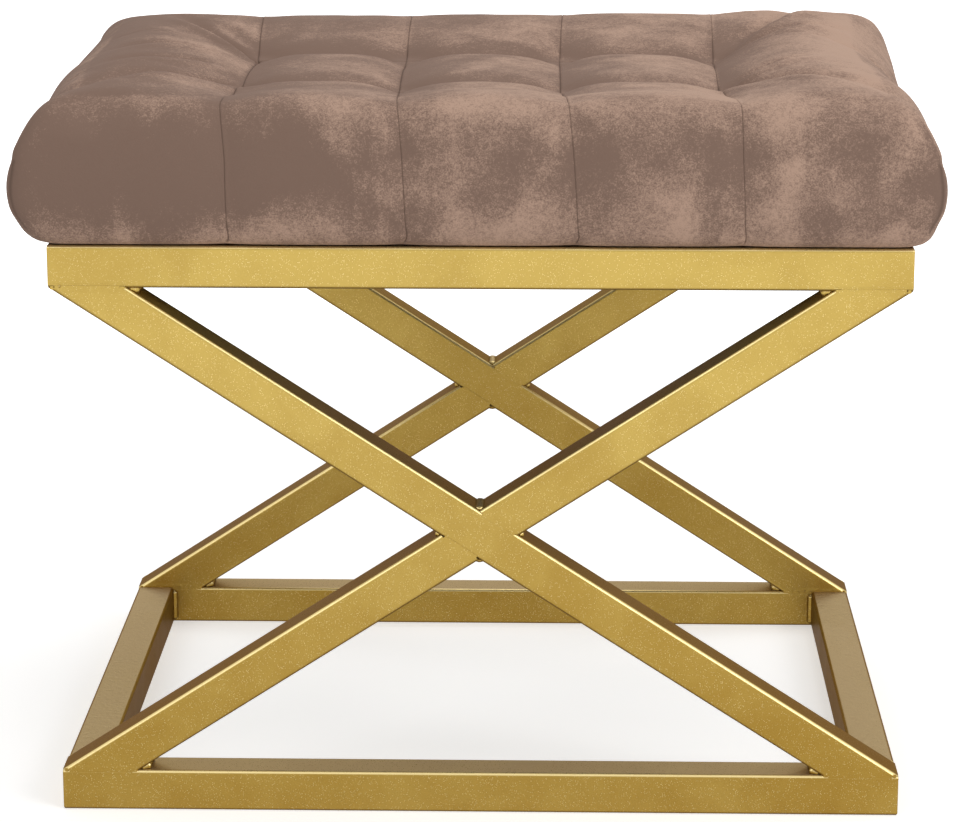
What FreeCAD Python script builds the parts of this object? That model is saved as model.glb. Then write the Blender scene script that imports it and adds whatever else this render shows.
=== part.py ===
"""X frame stool: a welded frame of square steel tube that carries a tufted velvet seat.

The origin is on the floor under the middle of the stool. X runs along the wide side, Y from the
front to the rear, and Z up. All lengths are millimetres.
"""
import FreeCAD, Part
import math
import os
import sys

import Sketcher
from FreeCAD import Placement, Rotation, Vector

OUT = "parts"

# Driving sizes: alias, value and what it is
SIZES = (
    ("frame_width", 500, "outside of the frame along X"),
    ("frame_depth", 400, "outside of the frame along Y"),
    ("frame_height", 345, "floor to the top of the top rails"),
    ("tube_side", 25, "outside of the square tube"),
    ("tube_wall", 1.5, "wall of the square tube"),
    ("tube_corner_radius", 2.2, "outer radius of the tube's long corners"),
    ("end_plate_thickness", 2, "plate that closes an open tube end"),
    ("end_plate_gap", 0.1, "all round an end plate, inside its tube"),
    ("weld_leg", 3, "leg of a fillet weld"),
    ("acute_weld_reach", 7, "length of the bead in a brace's narrow corner"),
    ("ground_weld_reach", 1.5, "weld ground flush over a rounded tube edge, in from the edge"),
    ("ground_end_radius", 1, "ground outer edge of the wide rails' ends"),
    ("tab_thickness", 3, "seat fixing tab"),
    ("tab_reach", 34, "tab, from its rail inwards"),
    ("tab_width", 30, "tab, along its rail"),
    ("tab_hole_from_rail", 22, "screw hole in a tab, from its rail"),
    ("tab_row_spacing", 240, "front to rear distance between tabs"),
    ("screw_diameter", 6, "seat screw"),
    ("screw_length", 16, "seat screw, under its head"),
    ("screw_head_width", 10, "hexagon head, across its flats"),
    ("screw_head_height", 4, "hexagon head"),
    ("screw_hole_clearance", 0.3, "round a screw, in a tab and a washer"),
    ("washer_diameter", 14, "washer of a seat screw"),
    ("washer_thickness", 1.6, "washer of a seat screw"),
    ("insert_diameter", 10, "threaded insert in the seat board"),
    ("insert_length", 10, "threaded insert in the seat board"),
    ("insert_fit_gap", 0.05, "round an insert and round a screw in it"),
    ("insert_floor_gap", 0.5, "past the end of an insert in its blind hole"),
    ("dust_cloth_thickness", 0.4, "black cloth under the seat"),
    ("dust_cloth_margin", 20, "from the seat's lower edge to the dust cloth"),
    ("dust_cloth_hole_gap", 0.6, "round a seat screw, in the dust cloth"),
    ("cover_thickness", 1.2, "velvet with its backing"),
    ("cover_turn_under", 40, "velvet turned in under the board"),
    ("soft_gap", 0.3, "between one soft layer and the next"),
    ("wadding_thickness", 6, "fibre wadding round the foam"),
    ("board_thickness", 12, "plywood seat board"),
    ("seat_side_overhang", 7.5, "lower edge of the seat past the frame, along X"),
    ("seat_front_overhang", 5, "lower edge of the seat past the frame, along Y"),
    ("seat_height", 89, "top of the frame to the crest of the seat"),
    ("seat_corner_radius", 22, "upright corners of the seat at its lower edge"),
    ("side_bulge", 10, "most that a side swells past its lower edge"),
    ("bulge_height", 44, "where a side swells most, above the seat's base"),
    ("shoulder_bulge", 6, "swell of a side at its shoulder"),
    ("shoulder_height", 66, "shoulder, above the seat's base"),
    ("brow_inset", 9, "top edge, in from the lower edge"),
    ("brow_height", 84, "top edge, above the seat's base"),
    ("lid_inset", 24, "end of the rounding, in from the lower edge"),
    ("lid_height", 91, "end of the rounding, above the seat's base"),
    ("tuft_spacing", 99, "between the seams that run front to rear"),
    ("tuft_row_spacing", 134, "between the two seams that run side to side"),
    ("seam_depth", 7, "a seam's valley below the crest"),
    ("tuft_depth", 20, "a tuft's bottom below the crest"),
    ("seam_half_width", 16, "how fast a valley rises from its seam"),
    ("end_fold_length", 45, "how far a cross seam fades past the last tuft"),
    ("twine_diameter", 1.6, "twine that pulls a tuft down"),
    ("twine_hole_gap", 0.5, "round a twine in the soft layers"),
    ("twine_board_hole", 6, "hole for a twine in the board"),
    ("twine_washer_diameter", 18, "washer that holds a twine under the board"),
    ("twine_washer_thickness", 1, "washer that holds a twine under the board"),
    ("twine_washer_gap", 0.1, "round a twine in its washer"),
    ("staple_crown", 10, "upholstery staple, outside width"),
    ("staple_wire_width", 1, "upholstery staple, along the board's face"),
    ("staple_wire_thickness", 0.6, "upholstery staple"),
    ("staple_leg", 8, "upholstery staple, overall height"),
    ("cover_staple_inset", 29, "line of cover staples, in from the seat's lower edge"),
    ("cover_staple_pitch", 27, "between cover staples"),
    ("cover_staple_end", 48, "last cover staple to the seat's corner, along its edge"),
    ("dust_staple_inset", 46, "line of dust cloth staples, in from the seat's lower edge"),
    ("dust_staple_pitch", 50, "between dust cloth staples"),
    ("dust_staple_front_span", 400, "dust cloth staples at the front and rear, first to last"),
    ("dust_staple_side_span", 150, "dust cloth staples at the sides, first to last"),
)

# Sizes that follow from the driving ones: alias and formula
WORKED = (
    ("brace_rise", "Sizes.frame_height - 2 * Sizes.tube_side"),
    ("brace_angle", "asin(Sizes.tube_side / hypot(Sizes.frame_width; brace_rise))"
                    " + atan2(brace_rise; Sizes.frame_width)"),
    ("brace_half", "brace_rise / 2 / sin(brace_angle)"),
    ("brace_tip", "brace_half + Sizes.tube_side / 2 / tan(brace_angle)"),
    ("mitre_lean", "Sizes.tube_side / tan(brace_angle)"),
    ("brace_foot", "Sizes.tube_side / sin(brace_angle)"),
    ("foot_rounding", "Sizes.tube_corner_radius / sin(brace_angle)"),
    ("crossing_middle", "Sizes.tube_side / 2 / tan(2 * brace_angle)"),
    ("crossing_reach", "(Sizes.tube_side / 2 - Sizes.tube_corner_radius) / sin(2 * brace_angle)"),
    ("panel_y", "(Sizes.frame_depth - Sizes.tube_side) / 2"),
    ("inner_half_width", "Sizes.frame_width / 2 - Sizes.tube_side"),
    ("inner_half_depth", "Sizes.frame_depth / 2 - Sizes.tube_side"),
    ("weld_length", "Sizes.tube_side - 2 * Sizes.tube_corner_radius"),
    ("screw_x", "inner_half_width - Sizes.tab_hole_from_rail"),
    ("screw_y", "Sizes.tab_row_spacing / 2"),
    ("tab_bottom", "Sizes.frame_height - Sizes.tab_thickness"),
    ("washer_bottom", "tab_bottom - Sizes.washer_thickness"),
    ("seat_base", "Sizes.frame_height + Sizes.dust_cloth_thickness"),
    ("board_bottom", "seat_base + Sizes.cover_thickness"),
    ("board_top", "board_bottom + Sizes.board_thickness"),
    ("base_half_width", "Sizes.frame_width / 2 + Sizes.seat_side_overhang"),
    ("base_half_depth", "Sizes.frame_depth / 2 + Sizes.seat_front_overhang"),
    ("soft_wall", "Sizes.cover_thickness + Sizes.wadding_thickness + 2 * Sizes.soft_gap"),
    ("board_half_width", "base_half_width - soft_wall - Sizes.soft_gap"),
    ("board_half_depth", "base_half_depth - soft_wall - Sizes.soft_gap"),
    ("tuft_x", "1.5 * Sizes.tuft_spacing"),
    ("tuft_y", "Sizes.tuft_row_spacing / 2"),
    ("tuft_floor", "Sizes.frame_height + Sizes.seat_height - Sizes.tuft_depth"),
    ("twine_bottom", "board_bottom - Sizes.twine_washer_thickness"),
)

# Flat and end-on views of a body, as the roles of its origin's planes and axes
PLAN, FRONT, SIDE = "XY_Plane", "XZ_Plane", "YZ_Plane"
ALONG_X, ALONG_Y, ALONG_Z = "X_Axis", "Y_Axis", "Z_Axis"

# Points of the tufted top across one panel of the seat
CELLS_PER_PANEL = 8

doc = FreeCAD.newDocument("x_frame_stool")
pieces = []


def fill_sheets():
    """Put the driving sizes and the formulas in their two sheets."""
    sheet = doc.addObject("Spreadsheet::Sheet", "Sizes")
    for row, (alias, number, note) in enumerate(SIZES, start=1):
        sheet.set(f"A{row}", alias)
        sheet.set(f"B{row}", str(number))
        sheet.set(f"C{row}", note)
        sheet.setAlias(f"B{row}", alias)
    doc.recompute()
    worked = doc.addObject("Spreadsheet::Sheet", "Worked")
    for row, (alias, formula) in enumerate(WORKED, start=1):
        worked.set(f"A{row}", alias)
        worked.set(f"B{row}", "=" + formula)
        worked.setAlias(f"B{row}", alias)
        doc.recompute()
    return sheet


def size(expression):
    """Number that an expression on the sheets gives now."""
    found = sizes.evalExpression(expression)
    return float(getattr(found, "Value", found))


def datum(body, role):
    """Plane or axis of a body's own origin."""
    return next(item for item in body.Origin.OriginFeatures if item.Role == role)


def new_body(label, x="0", y="0", z="0", axis=Vector(0, 1, 0), angle="0"):
    """Body whose place and turn about one axis are expressions."""
    body = doc.addObject("PartDesign::Body", label)
    body.Label = label
    body.Placement = Placement(Vector(), Rotation(axis, size(angle) or 1.0))
    body.setExpression("Placement.Base.x", x)
    body.setExpression("Placement.Base.y", y)
    body.setExpression("Placement.Base.z", z)
    body.setExpression("Placement.Rotation.Angle", angle)
    return body


def new_sketch(body, name, role, rise="0"):
    """Sketch on one of the body's own planes, moved along its normal."""
    sketch = body.newObject("Sketcher::SketchObject", f"{body.Name}_{name}")
    sketch.AttachmentSupport = [(datum(body, role), "")]
    sketch.MapMode = "FlatFace"
    sketch.setExpression("AttachmentOffset.Base.z", rise)
    return sketch


def pin_point(sketch, edge, end, x, y):
    """Hold one end of a sketch edge at x, y from the sketch's origin."""
    for kind, expression in (("DistanceX", x), ("DistanceY", y)):
        row = sketch.addConstraint(Sketcher.Constraint(kind, edge, end, size(expression)))
        sketch.setExpression(f"Constraints[{row}]", expression)


def draw_polygon(sketch, corners):
    """Closed straight outline through corners given as pairs of expressions."""
    first = sketch.GeometryCount
    spots = [Vector(size(x), size(y), 0) for x, y in corners]
    for index, spot in enumerate(spots):
        sketch.addGeometry(Part.LineSegment(spot, spots[(index + 1) % len(spots)]), False)
    for index, (x, y) in enumerate(corners):
        following = first + (index + 1) % len(corners)
        sketch.addConstraint(Sketcher.Constraint("Coincident", first + index, 2, following, 1))
        pin_point(sketch, first + index, 1, x, y)


def draw_circle(sketch, x, y, radius):
    """Circle whose centre and radius are expressions."""
    spot = Vector(size(x), size(y), 0)
    edge = sketch.addGeometry(Part.Circle(spot, Vector(0, 0, 1), size(radius)), False)
    pin_point(sketch, edge, 3, x, y)
    row = sketch.addConstraint(Sketcher.Constraint("Radius", edge, size(radius)))
    sketch.setExpression(f"Constraints[{row}]", radius)


def draw_rounded_rectangle(sketch, half_wide, half_high, radius):
    """Rectangle with round corners about the sketch's origin."""
    wide, high, corner = size(half_wide), size(half_high), size(radius)
    first = sketch.GeometryCount
    reach_x, reach_y = wide - corner, high - corner
    turns = ((1, -1, -90), (1, 1, 0), (-1, 1, 90), (-1, -1, 180))
    for side_x, side_y, start in turns:
        circle = Part.Circle(Vector(side_x * reach_x, side_y * reach_y, 0), Vector(0, 0, 1), corner)
        arc = Part.ArcOfCircle(circle, math.radians(start), math.radians(start + 90))
        sketch.addGeometry(arc, False)
    sides = ((1, -1, 1, 1), (1, 1, -1, 1), (-1, 1, -1, -1), (-1, -1, 1, -1))
    for index, (from_x, from_y, to_x, to_y) in enumerate(sides):
        out_x, out_y = ((corner, 0), (0, corner), (-corner, 0), (0, -corner))[index]
        start = Vector(from_x * reach_x + out_x, from_y * reach_y + out_y, 0)
        end = Vector(to_x * reach_x + out_x, to_y * reach_y + out_y, 0)
        sketch.addGeometry(Part.LineSegment(start, end), False)
    for index in range(4):
        arc, line, next_arc = first + index, first + 4 + index, first + (index + 1) % 4
        sketch.addConstraint(Sketcher.Constraint("Tangent", arc, 2, line, 1))
        sketch.addConstraint(Sketcher.Constraint("Tangent", line, 2, next_arc, 1))
        direction = "Vertical" if index % 2 == 0 else "Horizontal"
        sketch.addConstraint(Sketcher.Constraint(direction, line))
        if index:
            sketch.addConstraint(Sketcher.Constraint("Equal", first, arc))
    row = sketch.addConstraint(Sketcher.Constraint("Radius", first, corner))
    sketch.setExpression(f"Constraints[{row}]", radius)
    row = sketch.addConstraint(Sketcher.Constraint("DistanceX", first + 4, 1, wide))
    sketch.setExpression(f"Constraints[{row}]", half_wide)
    row = sketch.addConstraint(Sketcher.Constraint("DistanceY", first + 5, 1, high))
    sketch.setExpression(f"Constraints[{row}]", half_high)
    sketch.addConstraint(Sketcher.Constraint("Symmetric", first, 3, first + 2, 3, -1, 1))


def pad(body, sketch, length, both_ways=False):
    """Pad a sketch by an expression, one way or half each way."""
    feature = body.newObject("PartDesign::Pad", f"{sketch.Name}_pad")
    feature.Profile = sketch
    feature.SideType = "Symmetric" if both_ways else "One side"
    feature.setExpression("Length", length)
    return feature


def pocket(body, sketch, depth=None):
    """Cut a sketch to a depth along its normal, or right through both ways."""
    feature = body.newObject("PartDesign::Pocket", f"{sketch.Name}_pocket")
    feature.Profile = sketch
    if depth is None:
        feature.Type = "ThroughAll"
        feature.SideType = "Symmetric"
    else:
        feature.Reversed = True
        feature.setExpression("Length", depth)
    return feature


def repeat(body, feature, mirrors=(), rows=()):
    """Mirror a feature in the body's planes, then repeat it along its axes."""
    doc.recompute()
    steps = []
    for role in mirrors:
        step = body.newObject("PartDesign::Mirrored", f"{feature.Name}_mirror")
        step.MirrorPlane = (datum(body, role), [""])
        steps.append(step)
    for role, length, count in rows:
        step = body.newObject("PartDesign::LinearPattern", f"{feature.Name}_row")
        step.Direction = (datum(body, role), [""])
        step.setExpression("Length", length)
        step.Occurrences = count
        steps.append(step)
    pattern = body.newObject("PartDesign::MultiTransform", f"{feature.Name}_pattern")
    pattern.Originals = [feature]
    pattern.Transformations = steps
    body.Tip = pattern
    return pattern


def keep(piece):
    """Count an object as a sub-part, to be checked and written."""
    pieces.append(piece)
    return piece


def set_shape(label, shape):
    """Sub-part whose shape is worked out by the functions below."""
    feature = doc.addObject("Part::Feature", label)
    feature.Label = label
    feature.Shape = shape
    return feature


def cut_for(label, blank, tool):
    """Sub-part that is a blank with room cut in it for other pieces."""
    cut = doc.addObject("Part::Cut", label)
    cut.Label = label
    cut.Base = blank
    cut.Tool = tool
    return keep(cut)


# Square tube

def draw_tube_section(body, role):
    """Hollow square section with round corners."""
    sketch = new_sketch(body, "section", role)
    outer = "Sizes.tube_side / 2"
    inner = "Sizes.tube_side / 2 - Sizes.tube_wall"
    draw_rounded_rectangle(sketch, outer, outer, "Sizes.tube_corner_radius")
    draw_rounded_rectangle(sketch, inner, inner, "Sizes.tube_corner_radius - Sizes.tube_wall")
    return sketch


def make_rail(label, role, length, x, y, z):
    """Straight tube, cut square, centred on x, y, z."""
    body = new_body(label, x, y, z)
    pad(body, draw_tube_section(body, role), length, both_ways=True)
    return keep(body)


def round_ends(body, half_length, radius):
    """Round the outer edge of both ends of a tube that runs along X."""
    doc.recompute()
    tube = body.Tip
    end, outside = size(half_length), size("Sizes.tube_side / 2 - Sizes.tube_wall / 2")
    edges = []
    for index, edge in enumerate(tube.Shape.Edges, start=1):
        middle = edge.valueAt((edge.FirstParameter + edge.LastParameter) / 2)
        at_end = math.isclose(abs(middle.x), end)
        flat = max(abs(middle.y), abs(middle.z)) > outside
        corner = math.hypot(middle.y, middle.z) > outside * math.sqrt(2)
        if at_end and (flat or corner):
            edges.append(f"Edge{index}")
    fillet = body.newObject("PartDesign::Fillet", f"{body.Name}_ends")
    fillet.Base = (tube, edges)
    fillet.setExpression("Radius", radius)
    body.Tip = fillet


def mitre(body, name, edges):
    """Cut away the outlines in edges, seen from the front, right through a tube."""
    sketch = new_sketch(body, name, FRONT)
    for corners in edges:
        draw_polygon(sketch, corners)
    pocket(body, sketch)


def long_brace_mitres():
    """Ends of a whole brace, cut level with the rails above and below it."""
    high, reach = "Sizes.tube_side", "2 * Worked.brace_tip"
    lower = [
        ("Worked.brace_half + Worked.mitre_lean", high),
        ("Worked.brace_half - Worked.mitre_lean", "-" + high),
        (reach, "-" + high),
        (reach, high),
    ]
    upper = [(f"-({x})", f"-({y})") for x, y in lower]
    return [lower, upper]


def half_brace_mitres():
    """Ends of a half brace: level at its rail, and along the whole brace's face."""
    high, reach = "Sizes.tube_side", "2 * Worked.brace_tip"
    twice = "2 * Worked.brace_angle"
    joint = "(Sizes.tube_side / 2 {sign} Sizes.tube_side * cos(" + twice + ")) / sin(" + twice + ")"
    rail_end = [
        ("Worked.brace_half - Worked.mitre_lean", high),
        ("Worked.brace_half + Worked.mitre_lean", "-" + high),
        (reach, "-" + high),
        (reach, high),
    ]
    crossing_end = [
        (joint.format(sign="-"), high),
        (joint.format(sign="+"), "-" + high),
        ("-" + reach, "-" + high),
        ("-" + reach, high),
    ]
    return [rail_end, crossing_end]


def make_brace(label, y, angle, mitres):
    """Brace of an X panel, turned about the panel's middle."""
    body = new_body(label, "0", y, "Sizes.frame_height / 2", Vector(0, 1, 0), angle)
    pad(body, draw_tube_section(body, SIDE), "2 * Worked.brace_tip", both_ways=True)
    mitre(body, "ends", mitres)
    return keep(body)


def make_panel(side, y):
    """Two rails and the X between them; side names the panel."""
    low = "Sizes.tube_side / 2"
    high = "Sizes.frame_height - Sizes.tube_side / 2"
    tubes = [
        make_rail(f"{side}_top_rail", SIDE, "Sizes.frame_width", "0", y, high),
        make_rail(f"{side}_bottom_rail", SIDE, "Sizes.frame_width", "0", y, low),
        make_brace(f"{side}_long_brace", y, "Worked.brace_angle", long_brace_mitres()),
        make_brace(f"{side}_upper_half_brace", y, "-Worked.brace_angle", half_brace_mitres()),
        make_brace(f"{side}_lower_half_brace", y, "180 deg - Worked.brace_angle", half_brace_mitres()),
    ]
    for rail in tubes[:2]:
        round_ends(rail, "Sizes.frame_width / 2", "Sizes.ground_end_radius")
    return tubes


def make_side_rails():
    """Rails that join the front panel to the rear one, at floor and seat height."""
    length = "2 * Worked.inner_half_depth"
    across = "(Sizes.frame_width - Sizes.tube_side) / 2"
    for level, z in (("top", "Sizes.frame_height - Sizes.tube_side / 2"),
                     ("bottom", "Sizes.tube_side / 2")):
        make_rail(f"left_{level}_rail", FRONT, length, "-" + across, "0", z)
        make_rail(f"right_{level}_rail", FRONT, length, across, "0", z)


def make_end_plates():
    """Plates that close the ends of the four wide rails, flush with the tube."""
    body = new_body("tube_end_plates")
    half = "Sizes.tube_side / 2 - Sizes.tube_wall - Sizes.end_plate_gap"
    radius = "Sizes.tube_corner_radius - Sizes.tube_wall"
    sketch = new_sketch(body, "plate", SIDE, "Sizes.frame_width / 2 - Sizes.end_plate_thickness")
    sketch.setExpression("AttachmentOffset.Base.x", "Worked.panel_y")
    sketch.setExpression("AttachmentOffset.Base.y", "Sizes.tube_side / 2")
    draw_rounded_rectangle(sketch, half, half, radius)
    plate = pad(body, sketch, "Sizes.end_plate_thickness")
    repeat(body, plate, (SIDE, FRONT), [(ALONG_Z, "Sizes.frame_height - Sizes.tube_side", 2)])
    return keep(body)


# Welds

def bead(corner, first, second):
    """Triangle at a corner, with its other points along two directions."""
    x, y = corner
    return [corner] + [(f"{x} + {dx}", f"{y} + {dy}") for dx, dy in (first, second)]


def make_panel_welds(side, y):
    """Beads across the tubes of one X panel: at the rails and round the crossing."""
    body = new_body(f"{side}_panel_welds", "0", y, "Sizes.frame_height / 2")
    sketch = new_sketch(body, "beads", FRONT)
    for across in (1, -1):
        for up in (1, -1):
            reach = "Sizes.acute_weld_reach"
            foot = (f"{across} * (Sizes.frame_width / 2 - Worked.brace_foot)",
                    f"{up} * Worked.brace_rise / 2")
            along_rail = (f"-{across} * {reach}", "0")
            along_brace = (f"-{across} * {reach} * cos(Worked.brace_angle)",
                           f"-{up} * {reach} * sin(Worked.brace_angle)")
            draw_polygon(sketch, bead(foot, along_rail, along_brace))
    leg_x = "Sizes.weld_leg * cos(Worked.brace_angle)"
    leg_z = "Sizes.weld_leg * sin(Worked.brace_angle)"
    for way in (1, -1):
        level = (f"{way} * Worked.brace_foot / 2", "0")
        draw_polygon(sketch, bead(level, (f"{way} * {leg_x}", leg_z), (f"{way} * {leg_x}", "-" + leg_z)))
        upright = ("0", f"{way} * Sizes.tube_side / 2 / cos(Worked.brace_angle)")
        draw_polygon(sketch, bead(upright, (leg_x, f"{way} * {leg_z}"), ("-" + leg_x, f"{way} * {leg_z}")))
    pad(body, sketch, "Worked.weld_length", both_ways=True)
    return keep(body)


def ground_foot(across, up):
    """Strip over a brace's foot, in the rail's rounded edge."""
    near = f"{across} * (Sizes.frame_width / 2 - Worked.brace_foot + Worked.foot_rounding)"
    far = f"{across} * (Sizes.frame_width / 2 - Worked.foot_rounding)"
    low = f"{up} * Worked.brace_rise / 2"
    high = f"{up} * (Worked.brace_rise / 2 + Sizes.ground_weld_reach)"
    return [(near, low), (far, low), (far, high), (near, high)]


def ground_crossing(way):
    """Strip over a half brace's end, in the whole brace's rounded edge."""
    corners = []
    for side, depth in ((-1, "0"), (1, "0"), (1, "Sizes.ground_weld_reach"), (-1, "Sizes.ground_weld_reach")):
        along = f"(Worked.crossing_middle + {side} * Worked.crossing_reach)"
        out = f"(Sizes.tube_side / 2 - {depth})"
        corners.append((
            f"{way} * ({along} * cos(Worked.brace_angle) + {out} * sin(Worked.brace_angle))",
            f"{way} * ({out} * cos(Worked.brace_angle) - {along} * sin(Worked.brace_angle))",
        ))
    return corners


def make_ground_welds(side, y, tubes):
    """Weld metal that is ground flush with the front and rear faces of one X panel."""
    blank = new_body(f"{side}_ground_weld_blank", "0", y, "Sizes.frame_height / 2")
    sketch = new_sketch(blank, "strips", FRONT, "Sizes.tube_side / 2 - Sizes.ground_weld_reach")
    for way in (1, -1):
        draw_polygon(sketch, ground_foot(way, 1))
        draw_polygon(sketch, ground_foot(way, -1))
        draw_polygon(sketch, ground_crossing(way))
    repeat(blank, pad(blank, sketch, "Sizes.ground_weld_reach"), (FRONT,))
    welded = doc.addObject("Part::Compound", f"{side}_tubes")
    welded.Links = tubes
    cut_for(f"{side}_ground_welds", blank, welded)


def make_side_rail_welds():
    """Upright beads inside the four corners of the bottom ring and of the top ring."""
    body = new_body("side_rail_welds")
    sketch = new_sketch(body, "bead", PLAN, "Sizes.tube_corner_radius")
    corner = ("Worked.inner_half_width", "Worked.inner_half_depth")
    draw_polygon(sketch, bead(corner, ("-Sizes.weld_leg", "0"), ("0", "-Sizes.weld_leg")))
    upright = pad(body, sketch, "Worked.weld_length")
    repeat(body, upright, (SIDE, FRONT), [(ALONG_Z, "Sizes.frame_height - Sizes.tube_side", 2)])
    return keep(body)


def make_tab_welds():
    """Beads under the seat fixing tabs, where they meet the side rails."""
    body = new_body("tab_welds")
    sketch = new_sketch(body, "bead", FRONT, "-Worked.screw_y")
    corner = ("Worked.inner_half_width", "Worked.tab_bottom")
    draw_polygon(sketch, bead(corner, ("-Sizes.weld_leg", "0"), ("0", "-Sizes.weld_leg")))
    along_rail = pad(body, sketch, "Sizes.tab_width", both_ways=True)
    repeat(body, along_rail, (SIDE, FRONT))
    return keep(body)


# Seat fixings

def make_tabs():
    """Four flat tabs on the side top rails, flush with the rails' tops."""
    body = new_body("seat_fixing_tabs")
    sketch = new_sketch(body, "tab", PLAN, "Worked.tab_bottom")
    near, far = "Worked.inner_half_width - Sizes.tab_reach", "Worked.inner_half_width"
    low = "Worked.screw_y - Sizes.tab_width / 2"
    high = "Worked.screw_y + Sizes.tab_width / 2"
    draw_polygon(sketch, [(near, low), (far, low), (far, high), (near, high)])
    hole = "Sizes.screw_diameter / 2 + Sizes.screw_hole_clearance"
    draw_circle(sketch, "Worked.screw_x", "Worked.screw_y", hole)
    repeat(body, pad(body, sketch, "Sizes.tab_thickness"), (SIDE, FRONT))
    return keep(body)


def make_washers():
    """Plain washers between the screw heads and the tabs."""
    body = new_body("seat_screw_washers")
    sketch = new_sketch(body, "washer", PLAN, "Worked.washer_bottom")
    draw_circle(sketch, "Worked.screw_x", "Worked.screw_y", "Sizes.washer_diameter / 2")
    hole = "Sizes.screw_diameter / 2 + Sizes.screw_hole_clearance"
    draw_circle(sketch, "Worked.screw_x", "Worked.screw_y", hole)
    repeat(body, pad(body, sketch, "Sizes.washer_thickness"), (SIDE, FRONT))
    return keep(body)


def hexagon(x, y, flats):
    """Corners of a regular hexagon, as expressions."""
    reach = f"{flats} / 2 / cos(30)"
    return [(f"{x} + {reach} * cos({turn})", f"{y} + {reach} * sin({turn})")
            for turn in range(0, 360, 60)]


def make_screws():
    """Hexagon screws that hold the seat down, heads below the tabs."""
    body = new_body("seat_screws")
    spot = ("Worked.screw_x", "Worked.screw_y")
    head_sketch = new_sketch(body, "head", PLAN, "Worked.washer_bottom - Sizes.screw_head_height")
    draw_polygon(head_sketch, hexagon(*spot, "Sizes.screw_head_width"))
    pad(body, head_sketch, "Sizes.screw_head_height")
    shank_sketch = new_sketch(body, "shank", PLAN, "Worked.washer_bottom")
    draw_circle(shank_sketch, *spot, "Sizes.screw_diameter / 2")
    shank = pad(body, shank_sketch, "Sizes.screw_length")
    pattern = repeat(body, shank, (SIDE, FRONT))
    pattern.Originals = [body.getObject(f"{head_sketch.Name}_pad"), shank]
    return keep(body)


def make_inserts():
    """Threaded inserts, set in the board from below."""
    body = new_body("seat_threaded_inserts")
    sketch = new_sketch(body, "insert", PLAN, "Worked.board_bottom")
    spot = ("Worked.screw_x", "Worked.screw_y")
    draw_circle(sketch, *spot, "Sizes.insert_diameter / 2")
    draw_circle(sketch, *spot, "Sizes.screw_diameter / 2 + Sizes.insert_fit_gap")
    repeat(body, pad(body, sketch, "Sizes.insert_length"), (SIDE, FRONT))
    return keep(body)


# Staples

def make_staple():
    """One staple about the origin, crown along X at the bottom and legs up."""
    crown, width = size("Sizes.staple_crown"), size("Sizes.staple_wire_width")
    wire, leg = size("Sizes.staple_wire_thickness"), size("Sizes.staple_leg")
    shape = Part.makeBox(crown, width, wire, Vector(-crown / 2, -width / 2, 0))
    for foot in (-crown / 2, crown / 2 - wire):
        shape = shape.fuse(Part.makeBox(wire, width, leg, Vector(foot, -width / 2, 0)))
    return shape.removeSplitter()


def spread(span, pitch):
    """Evenly spaced places from -span / 2 to span / 2, about pitch apart."""
    steps = max(1, round(span / pitch))
    return [span * (index / steps - 0.5) for index in range(steps + 1)]


def staple_ring(line_x, line_y, span_x, span_y, pitch, crown_bottom):
    """Staples in lines at the front and rear (line_y) and at the sides (line_x)."""
    places = []
    for way in (-1, 1):
        places += [(x, way * line_y, 0) for x in spread(span_x, pitch)]
        places += [(way * line_x, y, 90) for y in spread(span_y, pitch)]
    one = make_staple()
    ring = []
    for x, y, turn in places:
        copy = one.copy()
        copy.Placement = Placement(Vector(x, y, crown_bottom), Rotation(Vector(0, 0, 1), turn))
        ring.append(copy)
    return Part.Compound(ring)


def make_cover_staples():
    """Staples that hold the turned-in velvet, sunk level with its face."""
    inset, end = size("Sizes.cover_staple_inset"), size("Sizes.cover_staple_end")
    half_x, half_y = size("Worked.base_half_width"), size("Worked.base_half_depth")
    ring = staple_ring(half_x - inset, half_y - inset, 2 * (half_x - end), 2 * (half_y - end),
                       size("Sizes.cover_staple_pitch"), size("Worked.seat_base"))
    return keep(set_shape("cover_staples", ring))


def make_dust_cloth_staples():
    """Staples that hold the dust cloth, crowns on its lower face, inside the rails."""
    inset = size("Sizes.dust_staple_inset")
    half_x, half_y = size("Worked.base_half_width"), size("Worked.base_half_depth")
    crown_bottom = size("Sizes.frame_height") - size("Sizes.staple_wire_thickness")
    ring = staple_ring(half_x - inset, half_y - inset, size("Sizes.dust_staple_front_span"),
                       size("Sizes.dust_staple_side_span"), size("Sizes.dust_staple_pitch"),
                       crown_bottom)
    return keep(set_shape("dust_cloth_staples", ring))


# Seat board and dust cloth

def make_board(driven_staples):
    """Plywood board with holes for the twines, the inserts and the staples."""
    blank = new_body("board_blank")
    sketch = new_sketch(blank, "outline", PLAN, "Worked.board_bottom")
    radius = "Sizes.seat_corner_radius - Worked.soft_wall - Sizes.soft_gap"
    draw_rounded_rectangle(sketch, "Worked.board_half_width", "Worked.board_half_depth", radius)
    pad(blank, sketch, "Sizes.board_thickness")
    twine_sketch = new_sketch(blank, "twine_hole", PLAN)
    draw_circle(twine_sketch, "-Worked.tuft_x", "-Worked.tuft_y", "Sizes.twine_board_hole / 2")
    twine_hole = pocket(blank, twine_sketch)
    repeat(blank, twine_hole, rows=twine_rows())
    insert_sketch = new_sketch(blank, "insert_hole", PLAN, "Worked.board_bottom")
    radius = "Sizes.insert_diameter / 2 + Sizes.insert_fit_gap"
    draw_circle(insert_sketch, "Worked.screw_x", "Worked.screw_y", radius)
    insert_hole = pocket(blank, insert_sketch, "Sizes.insert_length + Sizes.insert_floor_gap")
    repeat(blank, insert_hole, (SIDE, FRONT))
    return cut_for("seat_board", blank, driven_staples)


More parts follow.
